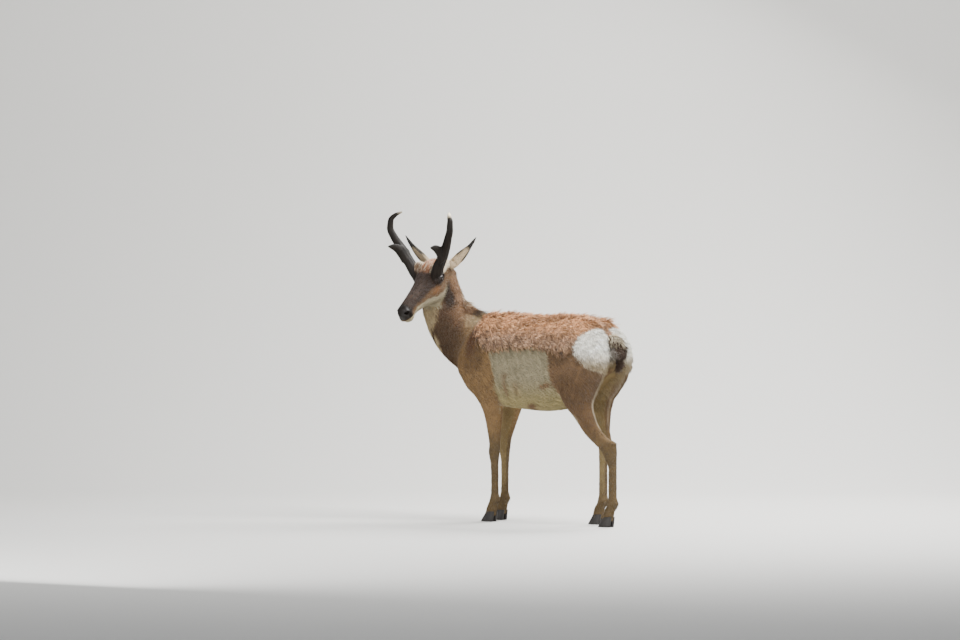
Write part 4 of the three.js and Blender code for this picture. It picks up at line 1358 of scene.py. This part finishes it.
class PRONGHORN_OT_coat(bpy.types.Operator):
    """The hair, as closed tufts on every part of the skin"""

    bl_idname = "pronghorn.coat"
    bl_label = "Coat"

    def execute(self, context):
        data = body()
        coat = context.scene.pronghorn_coat
        share = coat.amount * 1.0
        rng = np.random.default_rng(context.scene.pronghorn_shape.seed)
        points, quads, normal = data["points"], data["quads"], data["normal"]
        middle = points[quads].mean(1)
        face_owner = data["owner"][quads[:, 0]]
        zone = zone_of(middle, face_owner)
        area = quad_areas(points, quads) * ~bald(middle)
        weight = weights_of(data["near"])
        for number, (name, setting) in enumerate(COAT.items()):
            here = np.flatnonzero(zone == number)
            if not len(here):
                continue
            face, blend = scatter(quads, area, here, int(setting[0] * share), rng)
            p, n = blend(points), unit(blend(normal))
            lie = hair_lie(p, n, blend(weight.T).T)
            if name == "mane":
                lie = unit(lie + n * 0.25)
            made = build_tufts(name, p, n, lie, face_owner[face], setting, coat.length, rng)
            adopt(made, setting[-1], coat_material())
        return {"FINISHED"}


# Each side's word and the sign of its outward direction.
SIDES = (("left", 1), ("right", -1))

# The last points of a horn's and an ear's middle line, counted from 0, the point where the prong leaves the
# beam, and the room round the horn's middle lines, in mm.
HORN_LAST, EAR_LAST = 60, 30
PRONG_START = 25
ROOM = 36


def horn_tubes(side):
    """The beam along its curve and the flat blade of the prong, which narrows as (1 - share) to the power
    0.8, as tubes."""
    rows = profile(HORN, np.linspace(0, 1, HORN_LAST + 1))
    centres = np.array([over_brow(f, u, side * o) for f, u, o in rows[:, :3]])
    along = unit(np.gradient(centres, axis=0))
    beam = Tube(centres, rows[:, [4, 3]], np.cross(along, FACING), power=2.2, cap=3)
    root = centres[PRONG_START]
    end = over_brow(PRONG_TIP[0], PRONG_TIP[1], side * PRONG_TIP[2])
    s = np.linspace(0, 1, 17)[:, None]
    middle = root + (end - root) * s + UP * (12 * np.sin(math.pi * s) - 6 * (1 - s))
    tall = 31 * (1 - s) ** 0.8 + 2.2 * s
    wide = 11 * (1 - s) + 2 * s
    return beam, Tube(middle, np.hstack([wide, tall]), HEAD_LEFT, power=2.0, cap=2)


class PRONGHORN_OT_horns(bpy.types.Operator):
    """Two forked horns with their ridges"""

    bl_idname = "pronghorn.horns"
    bl_label = "Horns"

    def execute(self, context):
        cell = 2.0
        for word, side in SIDES:
            beam, prong = horn_tubes(side)

            def distance(p):
                place, u, v, _, _ = beam.coordinates(p)
                ridge = 0.5 * np.sin(np.arctan2(v, u) * 9 + place * 0.2)
                ridge = ridge + 0.5 * wobble(p * [1, 1, 0.4], 7, 31)
                both = merge([beam.distance(p), prong.distance(p)], 4.0)
                return both - 0.9 * ridge * ease((44 - place) / 20)

            low = np.minimum(beam.c.min(0), prong.c.min(0)) - ROOM
            high = np.maximum(beam.c.max(0), prong.c.max(0)) + ROOM
            points, quads, _ = net_of(distance, low, high, cell)
            place = beam.coordinates(points)[0]
            colours = blend_to(all_of("horn_base", len(points)), "horn", ease((place - 12) / 20))
            colours = colours * (1 + 0.25 * wobble(points * [1, 1, 0.25], 8, 33))[:, None]
            # The left horn's tip is painted pale, and the right one's only a little.
            pale_tip = ease((place - 55.5) / 3.0) if side > 0 else ease((place - 58) / 2.5) * 0.4
            made = make_object("horn_" + word, points, quads, blend_to(colours, "cream", pale_tip))
            adopt(made, ["horn_" + word], tinted_material("Horn", 0.68, 260.0, 0.5, specular=0.16))
        return {"FINISHED"}


class EarShape:
    """An ear: its axis, the way its hollow faces, and the tubes of its outside and its hollow."""

    def __init__(self, word, side):
        root = over_brow(EAR_ROOT[0], EAR_ROOT[1], side * EAR_ROOT[2])
        forward, upward, outward = EAR_REACH[word]
        reach = forward * FACING + upward * UP + side * outward * HEAD_LEFT
        length = np.linalg.norm(reach)
        self.axis = reach / length
        opening = 0.9 * FACING + 0.4 * side * HEAD_LEFT
        self.opening = unit(opening - self.axis * (opening @ self.axis))
        across = np.cross(self.opening, self.axis)
        t = np.linspace(0, 1, EAR_LAST + 1)
        width, depth, bend = profile(EAR, t).T
        curl = (UP - side * HEAD_LEFT * 0.5) * bend[:, None]
        self.middle = root + self.axis * (length * t)[:, None] + curl
        self.outer = Tube(self.middle, np.column_stack([width, depth]), across, cap=2)
        hollow = np.column_stack([width - 2.6, depth - 1.6])[4:].clip(0.8)
        self.inner = Tube((self.middle + self.opening * 8.5)[4:], hollow, across, cap=2)

    def distance(self, p):
        """Distance to the ear with its hollow cut out."""
        return carve(self.outer.distance(p), self.inner.distance(p), 0.8)

    def colours(self, points):
        """Pale, paler in the hollow, with dark edges and a dark tip."""
        place, u, _, _, size = self.outer.coordinates(points)
        share = place / EAR_LAST
        inside = ease((self.inner.distance(points) + 1.6) / -1.2 + 1)
        rim = np.abs(u) / np.maximum(size[:, 0], 1)
        edge = ease((rim - 0.66) / 0.16) * ease((share - 0.22) / 0.16)
        dark = np.clip(ease((share - 0.6) / 0.12) + edge * 0.9, 0, 1)
        return blend_to(blend_to(all_of("ear", len(points)), "cream", inside * 0.9), "black", dark)


class PRONGHORN_OT_ears(bpy.types.Operator):
    """Two cupped ears with pale hair inside and dark edges"""

    bl_idname = "pronghorn.ears"
    bl_label = "Ears"

    def execute(self, context):
        cell = 1.6
        rng = np.random.default_rng(context.scene.pronghorn_shape.seed + 5)
        for word, side in SIDES:
            ear = EarShape(word, side)
            low, high = ear.middle.min(0) - 30, ear.middle.max(0) + 30
            points, quads, normal = net_of(ear.distance, low, high, cell)
            colours = np.clip(ear.colours(points), 0, 1)
            made = make_object("ear_" + word, points, quads, colours)
            adopt(made, ["ear_" + word], skin_material())
            add_float(made, "gloss", np.zeros(len(points)))
            made = self.fringe(word, ear, points, quads, normal, colours, rng)
            adopt(made, ["ear_" + word], coat_material())
        return {"FINISHED"}

    def fringe(self, word, ear, points, quads, normal, colours, rng):
        """Short tufts over the whole ear, longer in its hollow, built as the coat's are."""
        count = 4200
        _, blend = scatter(quads, quad_areas(points, quads), np.arange(len(quads)), count, rng)
        p, n, tint = blend(points), unit(blend(normal)), blend(colours)
        lie = unit(ear.axis - n * (n @ ear.axis)[:, None])
        place, u, v, _, _ = ear.outer.coordinates(p)
        share = place / EAR_LAST
        hollow = (n @ ear.opening > 0.1)[:, None]
        long = np.where(hollow, 15.0, 8.0) * rng.uniform(0.6, 1.3, count)[:, None]
        long = long * (1 - 0.55 * share[:, None])
        side = np.cross(lie, n) * 0.9 * rng.uniform(0.7, 1.3, count)[:, None]
        rows = []
        for t in (0.0, 0.5):
            middle = p - n * (1 - t) + lie * long * t + n * long * 0.28 * (t - 0.5 * t * t)
            narrow = 1 - t * 0.5
            rows += [middle - side * narrow, middle + side * narrow, middle + n * 0.6 * (1 - t * 0.4)]
        tip = p + lie * long + n * long * 0.14
        corners = np.stack(rows + [tip], axis=1).reshape(-1, 3)
        shades = (tint * rng.uniform(0.85, 1.15, count)[:, None]).clip(0, 1)
        made = make_object("coat_ear_" + word, corners, tuft_faces(2, count), np.repeat(shades, 7, axis=0))
        home = np.column_stack([share * 0.9 + 0.05, np.arctan2(u, v) / 6.3 * 0.9 + 0.5])
        add_patches(made, home, 2)
        return made


class PRONGHORN_OT_eyes(bpy.types.Operator):
    """Two large dark eyes with long pupils"""

    bl_idname = "pronghorn.eyes"
    bl_label = "Eyes"

    def execute(self, context):
        lines, turns = ((36, 72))
        polar = np.linspace(0, math.pi, lines + 1)[1:-1, None]
        spin = np.linspace(0, 2 * math.pi, turns, endpoint=False)[None]
        for word, side in SIDES:
            centre = in_head(EYE[0], EYE[1], side * EYE[2])
            out = unit(side * HEAD_LEFT + 0.18 * MUZZLE)
            level = unit(MUZZLE - out * (MUZZLE @ out))
            tall = np.cross(out, level)
            # A ball whose front swells a little, as the cornea does.
            along = np.repeat(np.cos(polar), turns, axis=1)
            swell = 1 + 0.05 * ease((along - 0.78) / 0.2)
            off = np.sin(polar)
            rings = np.stack([off * np.cos(spin), off * np.sin(spin), along * swell], axis=-1)
            local = np.vstack([rings.reshape(-1, 3), [0, 0, 1.05], [0, 0, -1]])
            points = centre + EYE_RADIUS * (local[:, :1] * level + local[:, 1:2] * tall + local[:, 2:] * out)
            front = local[:, 2] > 0
            pupil = ease((1.08 - np.hypot(local[:, 0] / 0.52, local[:, 1] / 0.2)) / 0.12) * front
            iris = ease((0.74 - np.hypot(local[:, 0], local[:, 1])) / 0.05) * front
            tone = np.array([0.008, 0.006, 0.005]) + iris[:, None] * np.array([0.01, 0.006, 0.004])
            made = make_lathed("eye_" + word, points, turns, tone * (1 - 0.93 * pupil[:, None]))
            adopt(made, ["eye_" + word], self.wet_material())
        return {"FINISHED"}

    def wet_material(self):
        """A dark, glossy material that takes its colour from the tint."""
        if "Eye" in bpy.data.materials:
            return bpy.data.materials["Eye"]
        material = bpy.data.materials.new("Eye")
        material.use_nodes = True
        nodes, links = material.node_tree.nodes, material.node_tree.links
        shader = nodes["Principled BSDF"]
        shader.inputs["Roughness"].default_value = 0.22
        shader.inputs["Coat Weight"].default_value = 0.25
        shader.inputs["Coat Roughness"].default_value = 0.03
        tint = nodes.new("ShaderNodeAttribute")
        tint.attribute_name = "tint"
        links.new(tint.outputs["Color"], shader.inputs["Base Color"])
        return material


class PRONGHORN_OT_hooves(bpy.types.Operator):
    """Eight hoof halves, two to a foot"""

    bl_idname = "pronghorn.hooves"
    bl_label = "Hooves"

    def execute(self, context):
        turns, levels = 40, 18
        height = 42
        angle = 2 * math.pi * (np.arange(turns) + 0.5) / turns
        t = np.linspace(0, 1, levels)[:, None]
        c, s = np.cos(angle), np.sin(angle)
        # The section is an oval that is pointed in front and blunt behind. It shortens upwards, with faint
        # growth rings.
        reach = np.where(c > 0, c, -(np.abs(c) ** 0.7))
        cross = np.sign(s) * np.abs(s) ** 0.9 * np.where(c > 0, 1 - 0.25 * c, 1.0)
        growth = (1 + 0.006 * np.sin(t * 40)) * np.where(t < 0.06, 0.965 + t * 0.55, 1.0)
        length = (33 - 12 * t) * growth
        half = (9.4 - 1.0 * t) * growth
        lean = 18 * t - 14
        for name, (side, (x, y)) in LEGS.items():
            for word, offset in (("inner", -11), ("outer", 11)):
                middle = side * x + offset
                rings = np.broadcast_arrays(middle + half * cross, y + lean - length * reach, t * height)
                ends = [[middle, y - 14, 0], [middle, y + 4, height + 1]]
                points = np.vstack([np.stack(rings, axis=-1).reshape(-1, 3), ends])
                tone = all_of("hoof", len(points)) * (1 + 0.25 * wobble(points, 9, 41))[:, None]
                label = f"hoof_{name}_{word}"
                made = make_lathed(label, points, turns, tone)
                adopt(made, [label], tinted_material("Hoof", 0.45, 220.0, 0.3, specular=0.5))
        return {"FINISHED"}


# The floor's edges, from near the camera to the top of the wall behind: [towards the camera, height], in
# metres.
FLOOR_NEAR, FLOOR_BEND, FLOOR_RADIUS, WALL_TOP, FLOOR_HALF = 9.0, -2.2, 1.6, 7.0, 9.0

# The picture's middle, to the right of the animal's middle and up, and how far off the camera stands, in
# metres.
PICTURE_MIDDLE = (-0.272, 0.8429)
CAMERA_AWAY = 66.4

# [name, to the right, towards the camera, up, size, share of the power] of each light, in metres.
LIGHTS = (
    ("key", 1.6, 1.2, 4.0, 2.6, 0.46),
    ("fill", -2.6, 3.2, 1.7, 3.2, 0.16),
    ("rim", 1.4, -2.0, 3.3, 1.8, 0.34),
)


class PRONGHORN_OT_stage(bpy.types.Operator):
    """A pale swept floor, soft light and a camera at the photo's angle"""

    bl_idname = "pronghorn.stage"
    bl_label = "Stage"

    def execute(self, context):
        stage = context.scene.pronghorn_stage
        a, e = stage.azimuth, stage.elevation
        level = Vector((math.sin(a), -math.cos(a), 0))
        right = Vector((math.cos(a), math.sin(a), 0))
        up = Vector((0, 0, 1))
        origin = Vector(ORIGIN * MM)
        self.floor(origin, level, right, up)
        middle = origin + right * PICTURE_MIDDLE[0] + up * PICTURE_MIDDLE[1]
        self.camera(middle, level * math.cos(e) + up * math.sin(e))
        for name, across, near, high, size, share in LIGHTS:
            data = bpy.data.lights.new(name, "AREA")
            data.size = size
            data.energy = stage.light * share
            light = link(name, data)
            light.location = origin + right * across + level * near + up * high
            light.rotation_euler = (origin + up * 0.7 - light.location).to_track_quat("-Z", "Y").to_euler()
        world = bpy.data.worlds.new("world")
        world.use_nodes = True
        world.node_tree.nodes["Background"].inputs["Color"].default_value = (0.9, 0.94, 1.0, 1)
        world.node_tree.nodes["Background"].inputs["Strength"].default_value = 0.42
        context.scene.world = world
        return {"FINISHED"}

    def floor(self, origin, level, right, up):
        """A sheet that runs towards the camera and sweeps up behind the animal in a quarter of a circle."""
        edges = [(FLOOR_NEAR, 0.0), (FLOOR_BEND, 0.0)]
        for g in np.linspace(0.1, math.pi / 2, 14):
            edges.append((FLOOR_BEND - FLOOR_RADIUS * math.sin(g), FLOOR_RADIUS * (1 - math.cos(g))))
        edges.append((FLOOR_BEND - FLOOR_RADIUS, WALL_TOP))
        points = []
        for near, high in edges:
            for across in (-FLOOR_HALF, FLOOR_HALF):
                points.append(tuple(origin + level * near + right * across + up * (high - 0.0005)))
        faces = [(2 * i, 2 * i + 1, 2 * i + 3, 2 * i + 2) for i in range(len(edges) - 1)]
        mesh = bpy.data.meshes.new("floor")
        mesh.from_pydata(points, [], faces)
        mesh.polygons.foreach_set("use_smooth", np.ones(len(mesh.polygons), bool))
        material = bpy.data.materials.new("Floor")
        material.use_nodes = True
        shader = material.node_tree.nodes["Principled BSDF"]
        shader.inputs["Base Color"].default_value = (0.62, 0.61, 0.58, 1)
        shader.inputs["Roughness"].default_value = 0.9
        mesh.materials.append(material)
        link("floor", mesh)

    def camera(self, target, back):
        """A long lens that looks at the target from far off along the direction back."""
        data = bpy.data.cameras.new("camera")
        data.lens = 600
        data.sensor_width = 36
        data.clip_end = 400
        camera = link("camera", data)
        camera.location = target + back * CAMERA_AWAY
        camera.rotation_euler = back.to_track_quat("Z", "Y").to_euler()
        bpy.context.scene.camera = camera


class PRONGHORN_PT_panel(bpy.types.Panel):
    """The pronghorn's settings and pieces"""

    bl_label = "Pronghorn"
    bl_idname = "PRONGHORN_PT_panel"
    bl_space_type = "VIEW_3D"
    bl_region_type = "UI"
    bl_category = "Pronghorn"

    def draw(self, context):
        layout = self.layout
        for name in ("pronghorn_shape", "pronghorn_coat", "pronghorn_colours", "pronghorn_stage"):
            group = getattr(context.scene, name)
            for key in group.bl_rna.properties.keys():
                if key not in ("rna_type", "name"):
                    layout.prop(group, key)
        for operator in OPERATORS:
            layout.operator(operator.bl_idname)


OPERATORS = (
    PRONGHORN_OT_skin,
    PRONGHORN_OT_coat,
    PRONGHORN_OT_horns,
    PRONGHORN_OT_ears,
    PRONGHORN_OT_eyes,
    PRONGHORN_OT_hooves,
    PRONGHORN_OT_stage,
)
SETTINGS = (PronghornShape, PronghornCoat, PronghornColours, PronghornStage)
CLASSES = SETTINGS + OPERATORS + (PRONGHORN_PT_panel,)


def register():
    for item in CLASSES:
        bpy.utils.register_class(item)
    bpy.types.Scene.pronghorn_shape = PointerProperty(type=PronghornShape)
    bpy.types.Scene.pronghorn_coat = PointerProperty(type=PronghornCoat)
    bpy.types.Scene.pronghorn_colours = PointerProperty(type=PronghornColours)
    bpy.types.Scene.pronghorn_stage = PointerProperty(type=PronghornStage)


def unregister():
    del bpy.types.Scene.pronghorn_stage
    del bpy.types.Scene.pronghorn_colours
    del bpy.types.Scene.pronghorn_coat
    del bpy.types.Scene.pronghorn_shape
    for item in reversed(CLASSES):
        bpy.utils.unregister_class(item)


def main():
    register()
    bpy.ops.pronghorn.skin()
    bpy.ops.pronghorn.coat()
    bpy.ops.pronghorn.horns()
    bpy.ops.pronghorn.ears()
    bpy.ops.pronghorn.eyes()
    bpy.ops.pronghorn.hooves()
    bpy.ops.pronghorn.stage()


if __name__ == "__main__":
    main()
